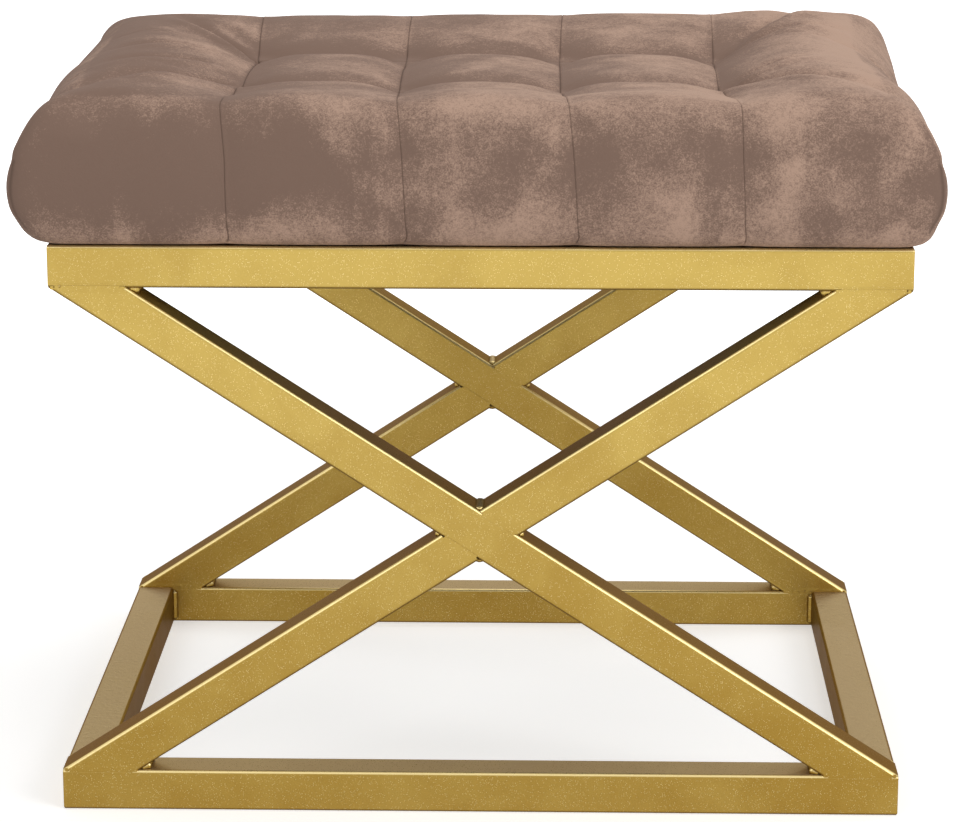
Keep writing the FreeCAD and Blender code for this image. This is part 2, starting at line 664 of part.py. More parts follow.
def make_dust_cloth(staples):
    """Thin black cloth between the seat and the frame, holed for the screws."""
    blank = new_body("dust_cloth_blank")
    sketch = new_sketch(blank, "outline", PLAN, "Sizes.frame_height")
    half_x = "Worked.base_half_width - Sizes.dust_cloth_margin"
    half_y = "Worked.base_half_depth - Sizes.dust_cloth_margin"
    draw_polygon(sketch, [(f"-({half_x})", f"-({half_y})"), (half_x, f"-({half_y})"),
                          (half_x, half_y), (f"-({half_x})", half_y)])
    pad(blank, sketch, "Sizes.dust_cloth_thickness")
    hole_sketch = new_sketch(blank, "screw_hole", PLAN)
    radius = "Sizes.screw_diameter / 2 + Sizes.dust_cloth_hole_gap"
    draw_circle(hole_sketch, "Worked.screw_x", "Worked.screw_y", radius)
    repeat(blank, pocket(blank, hole_sketch), (SIDE, FRONT))
    return cut_for("dust_cloth", blank, staples)


# Tufting

def twine_rows():
    """Steps from the first tuft to the others, along X and Y."""
    return [(ALONG_X, "2 * Worked.tuft_x", 4), (ALONG_Y, "2 * Worked.tuft_y", 2)]


def make_twines():
    """Twines from the tufts' undersides down through the board."""
    body = new_body("tufting_twines")
    sketch = new_sketch(body, "twine", PLAN, "Worked.twine_bottom")
    draw_circle(sketch, "-Worked.tuft_x", "-Worked.tuft_y", "Sizes.twine_diameter / 2")
    length = "Worked.tuft_floor - Sizes.cover_thickness - Sizes.soft_gap - Worked.twine_bottom"
    repeat(body, pad(body, sketch, length), rows=twine_rows())
    return keep(body)


def make_twine_washers():
    """Washers under the board that the twines are knotted to."""
    body = new_body("twine_washers")
    sketch = new_sketch(body, "washer", PLAN, "Worked.twine_bottom")
    spot = ("-Worked.tuft_x", "-Worked.tuft_y")
    draw_circle(sketch, *spot, "Sizes.twine_washer_diameter / 2")
    draw_circle(sketch, *spot, "Sizes.twine_diameter / 2 + Sizes.twine_washer_gap")
    repeat(body, pad(body, sketch, "Sizes.twine_washer_thickness"), rows=twine_rows())
    return keep(body)


def twine_holes(radius):
    """Upright cylinders at the tufts, from the board up past the top of the seat."""
    bottom, height = size("Worked.board_bottom"), size("Sizes.seat_height")
    step, row = size("Sizes.tuft_spacing"), size("Worked.tuft_y")
    return [Part.makeCylinder(radius, height, Vector(step * (column - 1.5), y, bottom))
            for column in range(4) for y in (-row, row)]


# Soft layers of the seat

def rounded_ring(half_x, half_y, radius, z):
    """Level wire of four arcs and four lines about the Z axis."""
    edges = []
    ends = []
    for side_x, side_y, start in ((1, -1, -90), (1, 1, 0), (-1, 1, 90), (-1, -1, 180)):
        centre = Vector(side_x * (half_x - radius), side_y * (half_y - radius), z)
        points = [centre + Rotation(Vector(0, 0, 1), start + turn).multVec(Vector(radius, 0, 0))
                  for turn in (0, 45, 90)]
        ends.append((points[0], points[2]))
        edges.append(Part.Arc(*points).toShape())
    joined = []
    for index, arc in enumerate(edges):
        joined.append(arc)
        line = Part.LineSegment(ends[index][1], ends[(index + 1) % 4][0])
        joined.append(line.toShape())
    return Part.Wire(joined)


def seat_sides(inset):
    """Swelling sides of the seat, moved in by inset and open above its crest."""
    half_x, half_y = size("Worked.base_half_width"), size("Worked.base_half_depth")
    base, radius = size("Worked.seat_base"), size("Sizes.seat_corner_radius")
    levels = (
        (0, 0),
        (size("Sizes.side_bulge"), size("Sizes.bulge_height")),
        (size("Sizes.shoulder_bulge"), size("Sizes.shoulder_height")),
        (-size("Sizes.brow_inset"), size("Sizes.brow_height")),
        (-size("Sizes.lid_inset"), size("Sizes.lid_height")),
    )
    rings = [rounded_ring(half_x + out - inset, half_y + out - inset, radius - inset, base + rise)
             for out, rise in levels]
    return Part.makeLoft(rings, True, False)


def top_grid():
    """Points of the tufted top: crests, seams and, where seams cross, tufts."""
    step, row, edge = size("Sizes.tuft_spacing"), size("Worked.tuft_y"), size("Worked.tuft_x")
    seam, tuft = size("Sizes.seam_depth"), size("Sizes.tuft_depth")
    half_width, fade = size("Sizes.seam_half_width"), size("Sizes.end_fold_length")
    crest = size("Sizes.frame_height") + size("Sizes.seat_height")

    def valley(distance):
        return math.exp(-(distance / half_width) ** 2)

    def height(x, y):
        along = max(valley(x - step * (column - 1.5)) for column in range(4))
        past = max(0.0, abs(x) - edge) / fade
        across = max(valley(y - row), valley(y + row)) * math.exp(-past ** 2)
        return crest - seam * max(along, across) - (tuft - seam) * along * across

    bulge = size("Sizes.side_bulge")
    cell_x, cell_y = step / CELLS_PER_PANEL, 2 * row / CELLS_PER_PANEL
    reach_x = math.ceil((size("Worked.base_half_width") + bulge) / cell_x) + 1
    reach_y = math.ceil((size("Worked.base_half_depth") + bulge) / cell_y) + 1
    return [[Vector(i * cell_x, j * cell_y, height(i * cell_x, j * cell_y))
             for j in range(-reach_y, reach_y + 1)] for i in range(-reach_x, reach_x + 1)]


def below_top(drop):
    """Solid under the tufted top, lowered by drop."""
    surface = Part.BSplineSurface()
    surface.interpolate([[point - Vector(0, 0, drop) for point in line] for line in tufted_top])
    return surface.toShape().extrude(Vector(0, 0, -2 * size("Sizes.seat_height")))


def seat_form(inset, bottom):
    """Outside of a soft layer, inset from the seat's own and cut level at bottom."""
    form = seat_sides(inset).common(below_top(inset))
    low = size("Worked.seat_base")
    if bottom > low:
        reach = size("Sizes.frame_width") + size("Sizes.frame_depth")
        slab = Part.makeBox(2 * reach, 2 * reach, bottom - low, Vector(-reach, -reach, low))
        form = form.cut(slab)
    return form


def make_cover(staples):
    """Velvet cover: a shell over the seat, turned in under the board and stapled there."""
    thickness, base = size("Sizes.cover_thickness"), size("Worked.seat_base")
    shell = seat_form(0, base).cut(seat_form(thickness, size("Worked.board_bottom")))
    turn = size("Sizes.cover_turn_under")
    half_x, half_y = size("Worked.base_half_width") - turn, size("Worked.base_half_depth") - turn
    window = Part.makeBox(2 * half_x, 2 * half_y, 2 * thickness, Vector(-half_x, -half_y, base - thickness))
    return keep(set_shape("velvet_cover", shell.cut(window).cut(staples.Shape)))


def make_wadding():
    """Fibre wadding over the foam and round the board's edge."""
    outer = size("Sizes.cover_thickness") + size("Sizes.soft_gap")
    inner = outer + size("Sizes.wadding_thickness")
    bottom = size("Worked.board_bottom")
    shell = seat_form(outer, bottom).cut(seat_form(inner, bottom))
    hole = size("Sizes.twine_diameter") / 2 + size("Sizes.twine_hole_gap")
    return keep(set_shape("wadding_layer", shell.cut(twine_holes(hole))))


def make_foam():
    """Foam block on the board."""
    block = seat_form(size("Worked.soft_wall"), size("Worked.board_top"))
    hole = size("Sizes.twine_diameter") / 2 + size("Sizes.twine_hole_gap")
    return keep(set_shape("seat_foam", block.cut(twine_holes(hole))))


def make_seat():
    """Board, fixings, soft layers and cover."""
    cover_staples = make_cover_staples()
    dust_staples = make_dust_cloth_staples()
    driven = doc.addObject("Part::Compound", "driven_staples")
    driven.Links = [cover_staples, dust_staples]
    make_board(driven)
    make_dust_cloth(dust_staples)
    make_inserts()
    make_twines()
    make_twine_washers()
    make_foam()
    make_wadding()
    make_cover(cover_staples)


def check():
    """Stop if an object failed or a sub-part has no sound shape."""
    faults = [item.Label for item in doc.Objects
              if "Invalid" in item.State or "Error" in item.State]
    faults += [piece.Label for piece in pieces
               if piece.Shape.isNull() or not piece.Shape.isValid() or not piece.Shape.Solids]
    if faults:
        sys.exit(f"failed: {sorted(set(faults))}")


def write():
    """Write each sub-part's solids to a file of its own name."""
    os.makedirs(OUT, exist_ok=True)
    for piece in pieces:
        piece.Shape.exportStep(os.path.join(OUT, f"{piece.Label}.step"))
        print(piece.Label, len(piece.Shape.Solids), round(piece.Shape.Volume, 1))


sizes = fill_sheets()
tufted_top = top_grid()
for panel, place in (("front", "-Worked.panel_y"), ("rear", "Worked.panel_y")):
    panel_tubes = make_panel(panel, place)
    make_panel_welds(panel, place)
    make_ground_welds(panel, place, panel_tubes)
make_side_rails()
make_end_plates()
make_side_rail_welds()
make_tabs()
make_tab_welds()
make_washers()
make_screws()
make_seat()
doc.recompute()
check()
write()
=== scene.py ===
"""X frame stool: gold painted square tube and a tufted velvet seat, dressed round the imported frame."""
import logging
import math
from dataclasses import dataclass, field
from enum import Enum
from typing import Any, Callable, Mapping, Sequence

import bmesh
import bpy
import numpy as np
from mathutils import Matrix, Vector


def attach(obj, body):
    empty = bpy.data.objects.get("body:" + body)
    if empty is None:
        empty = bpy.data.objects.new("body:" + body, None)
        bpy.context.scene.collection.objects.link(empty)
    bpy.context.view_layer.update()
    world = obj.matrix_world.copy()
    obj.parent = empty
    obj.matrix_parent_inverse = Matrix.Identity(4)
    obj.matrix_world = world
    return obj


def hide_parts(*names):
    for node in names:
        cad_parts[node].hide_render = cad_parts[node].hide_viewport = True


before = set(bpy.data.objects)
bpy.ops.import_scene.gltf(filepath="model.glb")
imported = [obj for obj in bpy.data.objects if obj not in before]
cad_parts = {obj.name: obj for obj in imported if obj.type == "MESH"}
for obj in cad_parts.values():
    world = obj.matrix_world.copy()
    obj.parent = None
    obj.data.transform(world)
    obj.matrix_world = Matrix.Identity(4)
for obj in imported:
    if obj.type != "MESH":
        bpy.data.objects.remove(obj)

log = logging.getLogger("x_frame_stool")
logging.basicConfig(level=logging.INFO, format="%(name)s: %(message)s")

MM = 0.001
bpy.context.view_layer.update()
Array = np.ndarray
Colour = tuple[float, float, float]


def srgb(red: int, green: int, blue: int) -> Colour:
    """Colour in linear light for three display values.

    Args:
        red: 0 to 255.
        green: 0 to 255.
        blue: 0 to 255.

    Returns:
        Linear red, green and blue.
    """
    def linear(value: float) -> float:
        """One channel, 0 to 255, in linear light."""
        share = value / 255
        return share / 12.92 if share <= 0.04045 else ((share + 0.055) / 1.055) ** 2.4
    return linear(red), linear(green), linear(blue)


# Node trees

class Tree:
    """Short calls that fill a shader or geometry node tree."""

    def __init__(self, tree: bpy.types.NodeTree) -> None:
        """Keep the tree to be filled."""
        self.tree = tree

    def feed(self, socket: bpy.types.NodeSocket, value: Any) -> None:
        """Link a socket, or set its own value.

        Args:
            socket: input to feed.
            value: another socket, or a plain value.
        """
        if isinstance(value, bpy.types.NodeSocket):
            self.tree.links.new(value, socket)
        elif value is not None:
            if socket.type == "RGBA" and len(value) == 3:
                value = (*value, 1.0)
            socket.default_value = value

    def add(self, kind: str, inputs: Mapping[Any, Any] | None = None, **settings: Any) -> bpy.types.Node:
        """Add a node.

        Args:
            kind: the node's type name.
            inputs: sockets by name or number, with what feeds them.
            **settings: the node's own properties.

        Returns:
            The new node.
        """
        node = self.tree.nodes.new(kind)
        for name, value in settings.items():
            setattr(node, name, value)
        for key, value in (inputs or {}).items():
            self.feed(node.inputs[key], value)
        return node

    def math(self, operation: str, first: Any, second: Any = None, third: Any = None) -> bpy.types.NodeSocket:
        """Result of a Math node."""
        return self.add("ShaderNodeMath", {0: first, 1: second, 2: third}, operation=operation).outputs[0]

    def plus(self, first: Any, second: Any) -> bpy.types.NodeSocket:
        """Sum of two numbers or sockets."""
        return self.math("ADD", first, second)

    def times(self, first: Any, second: Any) -> bpy.types.NodeSocket:
        """Product of two numbers or sockets."""
        return self.math("MULTIPLY", first, second)

    def named(self, name: str) -> bpy.types.NodeSocket:
        """Number that a mesh carries at its points, in a geometry node tree."""
        return self.add("GeometryNodeInputNamedAttribute", {"Name": name}, data_type="FLOAT").outputs[0]

    def normal(self) -> bpy.types.NodeSocket:
        """Surface normal, in a material."""
        return self.add("ShaderNodeNewGeometry").outputs["Normal"]

    def parts(self, vector: Any) -> Any:
        """The three parts of a vector."""
        return self.add("ShaderNodeSeparateXYZ", {0: vector}).outputs

    def made_of(self, geometry: Any, material: Any) -> Mapping[str, Any]:
        """Output of a geometry node tree: real geometry with a material.

        Args:
            geometry: geometry socket.
            material: material socket.

        Returns:
            What feeds the output.
        """
        real = self.add("GeometryNodeRealizeInstances", {0: geometry})
        done = self.add("GeometryNodeSetMaterial", {"Geometry": real.outputs[0], "Material": material})
        return {"Geometry": done.outputs[0]}

    def vector_math(self, operation: str, first: Any, second: Any = None) -> bpy.types.Node:
        """Vector Math node of two vectors."""
        return self.add("ShaderNodeVectorMath", {0: first, 1: second}, operation=operation)

    def span(self, value: Any, low: float, high: float, out_low: float = 0.0, out_high: float = 1.0,
             smooth: bool = True) -> bpy.types.NodeSocket:
        """Value mapped from one range to another and held inside it.

        Args:
            value: socket to map.
            low: value that gives out_low.
            high: value that gives out_high.
            out_low: result at low.
            out_high: result at high.
            smooth: ease in and out.

        Returns:
            The mapped value.
        """
        kind = "SMOOTHSTEP" if smooth else "LINEAR"
        return self.add("ShaderNodeMapRange", {"Value": value, "From Min": low, "From Max": high,
                                               "To Min": out_low, "To Max": out_high},
                        interpolation_type=kind).outputs[0]

    def mix(self, share: Any, first: Any, second: Any) -> bpy.types.NodeSocket:
        """Mix of two colours."""
        return self.add("ShaderNodeMix", {0: share, 6: first, 7: second},
                        data_type="RGBA").outputs[2]

    def noise(self, place: Any, scale: Any, detail: float = 2.0, rough: float = 0.5,
              twist: float = 0.0) -> bpy.types.NodeSocket:
        """Noise value at a place."""
        return self.add("ShaderNodeTexNoise", {"Vector": place, "Scale": scale, "Detail": detail,
                                               "Roughness": rough, "Distortion": twist}).outputs[0]


Sockets = Sequence[tuple[str, str, Any]]
Filler = Callable[[Tree, Any], Mapping[str, Any]]
SOCKET_KINDS = {"value": "NodeSocketFloat", "vector": "NodeSocketVector", "colour": "NodeSocketColor",
                "geometry": "NodeSocketGeometry", "object": "NodeSocketObject", "whole": "NodeSocketInt",
                "material": "NodeSocketMaterial"}


def new_group(name: str, kind: str, inputs: Sockets, outputs: Sockets,
              fill: Filler) -> bpy.types.NodeTree:
    """Node group with named inputs and outputs.

    Args:
        name: its name.
        kind: ShaderNodeTree or GeometryNodeTree.
        inputs: name, kind and value of each input.
        outputs: name, kind and value of each output.
        fill: makes the inside and returns what feeds each output.

    Returns:
        The group.
    """
    group = bpy.data.node_groups.new(name, kind)
    for side, sockets in (("INPUT", inputs), ("OUTPUT", outputs)):
        for label, sort, value in sockets:
            socket = group.interface.new_socket(name=label, in_out=side, socket_type=SOCKET_KINDS[sort])
            if side == "INPUT" and value is not None:
                socket.default_value = value
    tree = Tree(group)
    entry = group.nodes.new("NodeGroupInput")
    leave = group.nodes.new("NodeGroupOutput")
    for label, value in fill(tree, entry.outputs).items():
        tree.feed(leave.inputs[label], value)
    return group


class Effect(Enum):
    """Surface effects that several finishes share, each a shader node group."""
    FLAKE = "metal_flake"
    BLOTCH = "blotch"
    GRAIN = "fine_grain"
    WEAVE = "weave"
    FIBRE = "loose_fibre"
    EDGE = "rounded_edge"


def effect_group(effect: Effect, inside: Filler, inputs: Mapping[str, Any],
                 outputs: Sequence[str] = ("Value",)) -> bpy.types.NodeTree:
    """Shader group of an effect, which puts out numbers.

    Args:
        effect: the effect.
        inside: makes the inside and returns what feeds each output.
        inputs: names with a number, a vector, or None for a vector that is linked.
        outputs: names.

    Returns:
        The group.
    """
    sockets = [(name, "value" if isinstance(value, float) else "vector", value)
               for name, value in inputs.items()]
    return new_group(effect.value, "ShaderNodeTree", sockets, [(name, "value", None) for name in outputs],
                     inside)


class EffectLibrary:
    """Builds each shared effect once and places it in materials."""

    def __init__(self) -> None:
        """Start with no groups."""
        self.groups: dict[Effect, bpy.types.NodeTree] = {}

    def place(self, tree: Tree, effect: Effect, **inputs: Any) -> Any:
        """Put an effect in a material.

        Args:
            tree: the material's tree.
            effect: which one.
            **inputs: its sockets.

        Returns:
            The outputs of the group node.
        """
        if effect not in self.groups:
            self.groups[effect] = getattr(self, effect.name.lower())()
        node = tree.tree.nodes.new("ShaderNodeGroup")
        node.node_tree = self.groups[effect]
        for name, value in inputs.items():
            tree.feed(node.inputs[name], value)
        return node.outputs

    @staticmethod
    def flake() -> bpy.types.NodeTree:
        """Group of bright flakes in paint: a mask of the few that catch the light, and their relief."""
        def inside(tree: Tree, given: Any) -> Mapping[str, Any]:
            """Cells that each have one random value."""
            cells = tree.add("ShaderNodeTexVoronoi", {"Vector": given["Place"], "Scale": given["Scale"]})
            shade = tree.add("ShaderNodeSeparateColor", {0: cells.outputs["Color"]})
            chosen = tree.math("GREATER_THAN", shade.outputs[0], given["Threshold"])
            core = tree.math("LESS_THAN", cells.outputs["Distance"], 0.42)
            return {"Mask": tree.times(chosen, core), "Relief": shade.outputs[1]}
        return effect_group(Effect.FLAKE, inside,
                            {"Place": None, "Scale": 2000.0, "Threshold": 0.95}, ("Mask", "Relief"))

    @staticmethod
    def blotch() -> bpy.types.NodeTree:
        """Group of soft clouds at two sizes, from 0 to 1."""
        def inside(tree: Tree, given: Any) -> Mapping[str, Any]:
            """Two noises, mixed and spread."""
            wide = tree.noise(given["Place"], given["Scale"], 3.0, 0.55, 0.7)
            near = tree.noise(given["Place"], tree.times(given["Scale"], 4.3), 3.0, 0.6, 0.4)
            both = tree.math("MULTIPLY_ADD", near, 0.38, tree.times(wide, 0.62))
            centred = tree.math("SUBTRACT", both, 0.5)
            return {"Value": tree.math("MULTIPLY_ADD", centred, given["Contrast"], 0.5)}
        return effect_group(Effect.BLOTCH, inside, {"Place": None, "Scale": 10.0, "Contrast": 2.0})

    @staticmethod
    def grain() -> bpy.types.NodeTree:
        """Group of fine specks, about zero on average."""
        def inside(tree: Tree, given: Any) -> Mapping[str, Any]:
            """Fine noise times an amount."""
            fine = tree.noise(given["Place"], given["Scale"], 2.0, 0.7)
            centred = tree.math("SUBTRACT", fine, 0.5)
            return {"Value": tree.times(centred, given["Amount"])}
        return effect_group(Effect.GRAIN, inside, {"Place": None, "Scale": 900.0, "Amount": 1.0})

    @staticmethod
    def weave() -> bpy.types.NodeTree:
        """Group of crossing threads: their height, from 0 to 1."""
        def inside(tree: Tree, given: Any) -> Mapping[str, Any]:
            """Two sets of bands at right angles."""
            parts = tree.parts(given["Place"])
            turns = tree.times(given["Threads"], 2 * math.pi)
            waves = [tree.math("SINE", tree.times(parts[axis], turns)) for axis in (0, 1)]
            product = tree.times(waves[0], waves[1])
            return {"Value": tree.math("MULTIPLY_ADD", product, 0.5, 0.5)}
        return effect_group(Effect.WEAVE, inside, {"Place": None, "Threads": 700.0})

    @staticmethod
    def fibre() -> bpy.types.NodeTree:
        """Group of stretched noise along one direction, as wood grain, metal with brush lines, or fibre."""
        def inside(tree: Tree, given: Any) -> Mapping[str, Any]:
            """Noise on stretched coordinates."""
            stretched = tree.vector_math("MULTIPLY", given["Place"], given["Stretch"]).outputs[0]
            return {"Value": tree.noise(stretched, 1.0, 4.0, 0.6, 0.3)}
        return effect_group(Effect.FIBRE, inside, {"Place": None, "Stretch": (40.0, 900.0, 900.0)})

    @staticmethod
    def edge() -> bpy.types.NodeTree:
        """Group that finds a tube's upper and lower rounded edges and its level faces, as masks for the
        gold's painted highlight, painted edge shade and painted light.
        """
        def inside(tree: Tree, given: Any) -> Mapping[str, Any]:
            """Normals that are neither along nor across the way that the flats face."""
            parts = tree.parts(given["Normal"])
            facing = tree.math("ABSOLUTE", parts[1])
            aside = tree.math("SQRT", tree.math("SUBTRACT", 1.0, tree.times(facing, facing)))
            bend = tree.span(tree.times(facing, aside), 0.12, 0.45)
            return {"Upper": tree.times(bend, tree.span(parts[2], 0.15, 0.5)),
                    "Lower": tree.times(bend, tree.span(parts[2], -0.15, -0.5)),
                    "Level": tree.span(parts[2], 0.9, 0.99)}
        return effect_group(Effect.EDGE, inside, {"Normal": None}, ("Upper", "Lower", "Level"))


# Finishes

@dataclass(frozen=True)
class Finish:
    """A finish: the parts of its material that are the same all over."""
    name: str
    slot: str
    roughness: float = 0.6

    def paint(self, tree: Tree, place: Any, effects: EffectLibrary) -> Mapping[str, Any]:
        """What feeds the Principled BSDF."""
        raise NotImplementedError

    def relief(self, tree: Tree, height: Any, strength: float, depth: float,
               below: Any = None) -> bpy.types.NodeSocket:
        """Normal from a height."""
        return tree.add("ShaderNodeBump", {"Strength": strength, "Distance": depth, "Height": height,
                                           "Normal": below}).outputs[0]

    def make(self, effects: EffectLibrary) -> bpy.types.Material:
        """Material of this finish.

        Args:
            effects: shared effects.

        Returns:
            The material.
        """
        material = bpy.data.materials.new(self.name)
        material.use_nodes = True
        tree = Tree(material.node_tree)
        shader = next(node for node in tree.tree.nodes if node.type == "BSDF_PRINCIPLED")
        place = tree.add("ShaderNodeTexCoord").outputs["Object"]
        tree.feed(shader.inputs["Roughness"], self.roughness)
        for name, value in self.paint(tree, place, effects).items():
            tree.feed(shader.inputs[name], value)
        return material


@dataclass(frozen=True)
class GoldPaint(Finish):
    """Sprayed gold metallic paint with flakes, a faint orange peel and ground welds, with a painted highlight
    on upper rounded edges, painted shade on lower ones, painted light on level faces and painted shade
    deepening towards the bottom.
    """
    name: str = "gold_paint"
    slot: str = "gold_paint"
    light: Colour = srgb(187, 160, 86)
    # deep also carries the painted shade towards the bottom.
    deep: Colour = srgb(154, 120, 48)
    flake: Colour = srgb(250, 232, 178)
    # Painted highlight on upper rounded edges, painted shade on lower ones, painted light on level upward
    # faces.
    painted_edge_highlight: Colour = srgb(252, 232, 170)
    painted_edge_shade: Colour = srgb(104, 80, 40)
    level: Colour = srgb(240, 222, 190)
    metallic: float = 0.86
    roughness: float = 0.36
    joint_height: float = 0.1475
    middle_height: float = 0.1725

    def paint(self, tree: Tree, place: Any, effects: EffectLibrary) -> Mapping[str, Any]:
        """Colour, gloss and relief of the paint."""
        cloud = effects.place(tree, Effect.BLOTCH, Place=place, Scale=7.0, Contrast=2.2)["Value"]
        speck = effects.place(tree, Effect.GRAIN, Place=place, Scale=1700.0, Amount=0.9)["Value"]
        spark = effects.place(tree, Effect.FLAKE, Place=place, Scale=1900.0, Threshold=0.9)
        parts = tree.parts(place)
        # Painted shade: the gold turns deeper towards the bottom of the frame.
        low = tree.span(parts[2], 0.0, 0.34, 0.65, 0.0)
        shade = tree.plus(tree.plus(tree.span(cloud, 0.1, 0.9, -0.18, 0.22), low), speck)
        colour = tree.mix(tree.span(shade, 0.0, 1.0, 0.0, 1.0, False), self.light, self.deep)
        colour = tree.mix(tree.times(spark["Mask"], 0.38), colour, self.flake)
        edge = effects.place(tree, Effect.EDGE, Normal=tree.normal())
        # Painted light on level upward faces, painted highlight on upper rounded edges and painted shade on
        # lower rounded edges.
        colour = tree.mix(tree.times(edge["Level"], 0.55), colour, self.level)
        colour = tree.mix(tree.times(edge["Upper"], 0.75), colour, self.painted_edge_highlight)
        colour = tree.mix(tree.times(edge["Lower"], 0.6), colour, self.painted_edge_shade)
        rough = tree.plus(tree.span(cloud, 0.0, 1.0, self.roughness - 0.05, self.roughness + 0.07),
                          tree.times(spark["Mask"], -0.12))
        peel = tree.noise(place, 520.0, 2.0, 0.5)
        from_middle = tree.math("ABSOLUTE", tree.math("SUBTRACT", parts[2], self.middle_height))
        from_joint = tree.math("ABSOLUTE", tree.math("SUBTRACT", from_middle, self.joint_height))
        outer = tree.span(tree.math("ABSOLUTE", parts[0]), 0.198, 0.206)
        ground = tree.times(tree.span(from_joint, 0.0035, 0.0005), outer)
        lumps = tree.times(tree.noise(place, 330.0, 3.0, 0.6), ground)
        coarse = self.relief(tree, lumps, 0.55, 0.0007)
        middle = self.relief(tree, peel, 0.16, 0.0004, coarse)
        normal = self.relief(tree, spark["Relief"], 0.10, 0.0002, middle)
        return {"Base Color": colour, "Metallic": self.metallic, "Roughness": rough, "Normal": normal,
                "Specular Tint": (*srgb(96, 74, 54), 1.0)}


@dataclass(frozen=True)
class Velvet(Finish):
    """Crushed velvet: a pile that lies two ways, in clouds that end in specks, with light and shade painted
    in from the cover's points, and darker in the seams as painted shade.
    """
    name: str = "taupe_velvet"
    slot: str = "velvet"
    dark: Colour = srgb(132, 108, 95)
    light: Colour = srgb(187, 156, 137)
    # Painted shade for the seam grooves and the corner tucks.
    seam: Colour = srgb(92, 74, 64)
    roughness: float = 0.9

    def paint(self, tree: Tree, place: Any, effects: EffectLibrary) -> Mapping[str, Any]:
        """Colour, pile and relief of the velvet, with its painted light and shade."""
        leaning = tree.vector_math("MULTIPLY", place, (1.0, 1.0, 0.75)).outputs[0]
        cloud = effects.place(tree, Effect.BLOTCH, Place=leaning, Scale=13.0, Contrast=2.0)["Value"]
        coarse_speck = effects.place(tree, Effect.GRAIN, Place=place, Scale=420.0, Amount=0.7)["Value"]
        speck = effects.place(tree, Effect.GRAIN, Place=place, Scale=1150.0, Amount=1.1)["Value"]
        level = tree.parts(tree.normal())
        quiet = tree.span(level[2], 0.45, 0.9, 1.0, 0.8)
        cloud = tree.math("MULTIPLY_ADD", tree.math("SUBTRACT", cloud, 0.5), quiet, 0.5)
        # Painted light and shade from the cover's points, with the pile's strokes: lighter brow and foot,
        # slopes lit from the right and rear, lighter to the right, painted shade in the tufted hollows and at
        # the front corners' rounding.
        nap = tree.add("ShaderNodeAttribute", attribute_name="nap").outputs["Fac"]
        patch = tree.plus(tree.plus(cloud, nap), tree.plus(coarse_speck, speck))
        share = tree.span(patch, 0.32, 1.02)
        colour = tree.mix(share, self.dark, self.light)
        # Painted shade in the seam grooves and corner tucks.
        seam = tree.add("ShaderNodeAttribute", attribute_name="seam").outputs["Fac"]
        colour = tree.mix(tree.span(seam, 0.45, 1.0, 0.0, 0.6), colour, self.seam)
        pile = tree.plus(speck, tree.times(coarse_speck, 0.5))
        coarse = self.relief(tree, tree.noise(leaning, 60.0, 3.0, 0.6, 0.5), 0.3, 0.0012)
        normal = self.relief(tree, pile, 0.3, 0.0006, coarse)
        return {"Base Color": colour, "Normal": normal, "Sheen Weight": 0.07, "Sheen Roughness": 0.4,
                "Sheen Tint": (*srgb(236, 214, 200), 1.0), "Specular IOR Level": 0.12}


@dataclass(frozen=True)
class DustCloth(Finish):
    """Black spunbonded cloth with its pressed dots."""
    name: str = "black_dust_cloth"
    slot: str = "dust_cloth"
    roughness: float = 0.9

    def paint(self, tree: Tree, place: Any, effects: EffectLibrary) -> Mapping[str, Any]:
        """Colour and relief of the cloth."""
        dots = effects.place(tree, Effect.WEAVE, Place=place, Threads=420.0)["Value"]
        strand = effects.place(tree, Effect.FIBRE, Place=place, Stretch=(260.0, 900.0, 400.0))["Value"]
        colour = tree.mix(tree.span(strand, 0.35, 0.7), srgb(20, 20, 22), srgb(46, 45, 47))
        height = tree.plus(tree.span(dots, 0.7, 0.95), tree.times(strand, 0.6))
        return {"Base Color": colour, "Normal": self.relief(tree, height, 0.5, 0.0003),
                "Sheen Weight": 0.1}


@dataclass(frozen=True)
class Plywood(Finish):
    """Birch plywood with the grain of its face along X and its plies at the edges."""
    name: str = "birch_plywood"
    slot: str = "plywood"
    roughness: float = 0.62

    def paint(self, tree: Tree, place: Any, effects: EffectLibrary) -> Mapping[str, Any]:
        """Colour and relief of the wood."""
        grain = effects.place(tree, Effect.FIBRE, Place=place, Stretch=(9.0, 160.0, 160.0))["Value"]
        pores = effects.place(tree, Effect.FIBRE, Place=place, Stretch=(70.0, 1500.0, 1500.0))["Value"]
        height = tree.parts(place)[2]
        ply = tree.math("SINE", tree.times(height, 2 * math.pi / 0.003))
        colour = tree.mix(tree.span(grain, 0.3, 0.7), srgb(222, 190, 146), srgb(190, 150, 104))
        colour = tree.mix(tree.span(pores, 0.6, 0.75, 0.0, 0.4), colour, srgb(140, 100, 64))
        colour = tree.mix(tree.span(ply, 0.2, 0.6, 0.0, 0.3), colour, srgb(160, 116, 76))
        return {"Base Color": colour, "Normal": self.relief(tree, pores, 0.25, 0.0003)}


@dataclass(frozen=True)
class BareSteel(Finish):
    """Zinc plated or drawn steel."""
    name: str = "zinc_steel"
    slot: str = "zinc_steel"
    roughness: float = 0.34
    tone: Colour = srgb(196, 197, 200)
    streak: float = 700.0

    def paint(self, tree: Tree, place: Any, effects: EffectLibrary) -> Mapping[str, Any]:
        """Colour, gloss and relief of the metal."""
        cloud = effects.place(tree, Effect.BLOTCH, Place=place, Scale=130.0, Contrast=2.0)["Value"]
        lines = effects.place(tree, Effect.FIBRE, Place=place, Stretch=(self.streak, 90.0, 300.0))
        dull = tuple(0.72 * part for part in self.tone)
        colour = tree.mix(tree.span(cloud, 0.2, 0.8), self.tone, dull)
        rough = tree.span(cloud, 0.0, 1.0, self.roughness - 0.08, self.roughness + 0.12)
        return {"Base Color": colour, "Metallic": 0.95, "Roughness": rough,
                "Normal": self.relief(tree, lines["Value"], 0.15, 0.0001)}


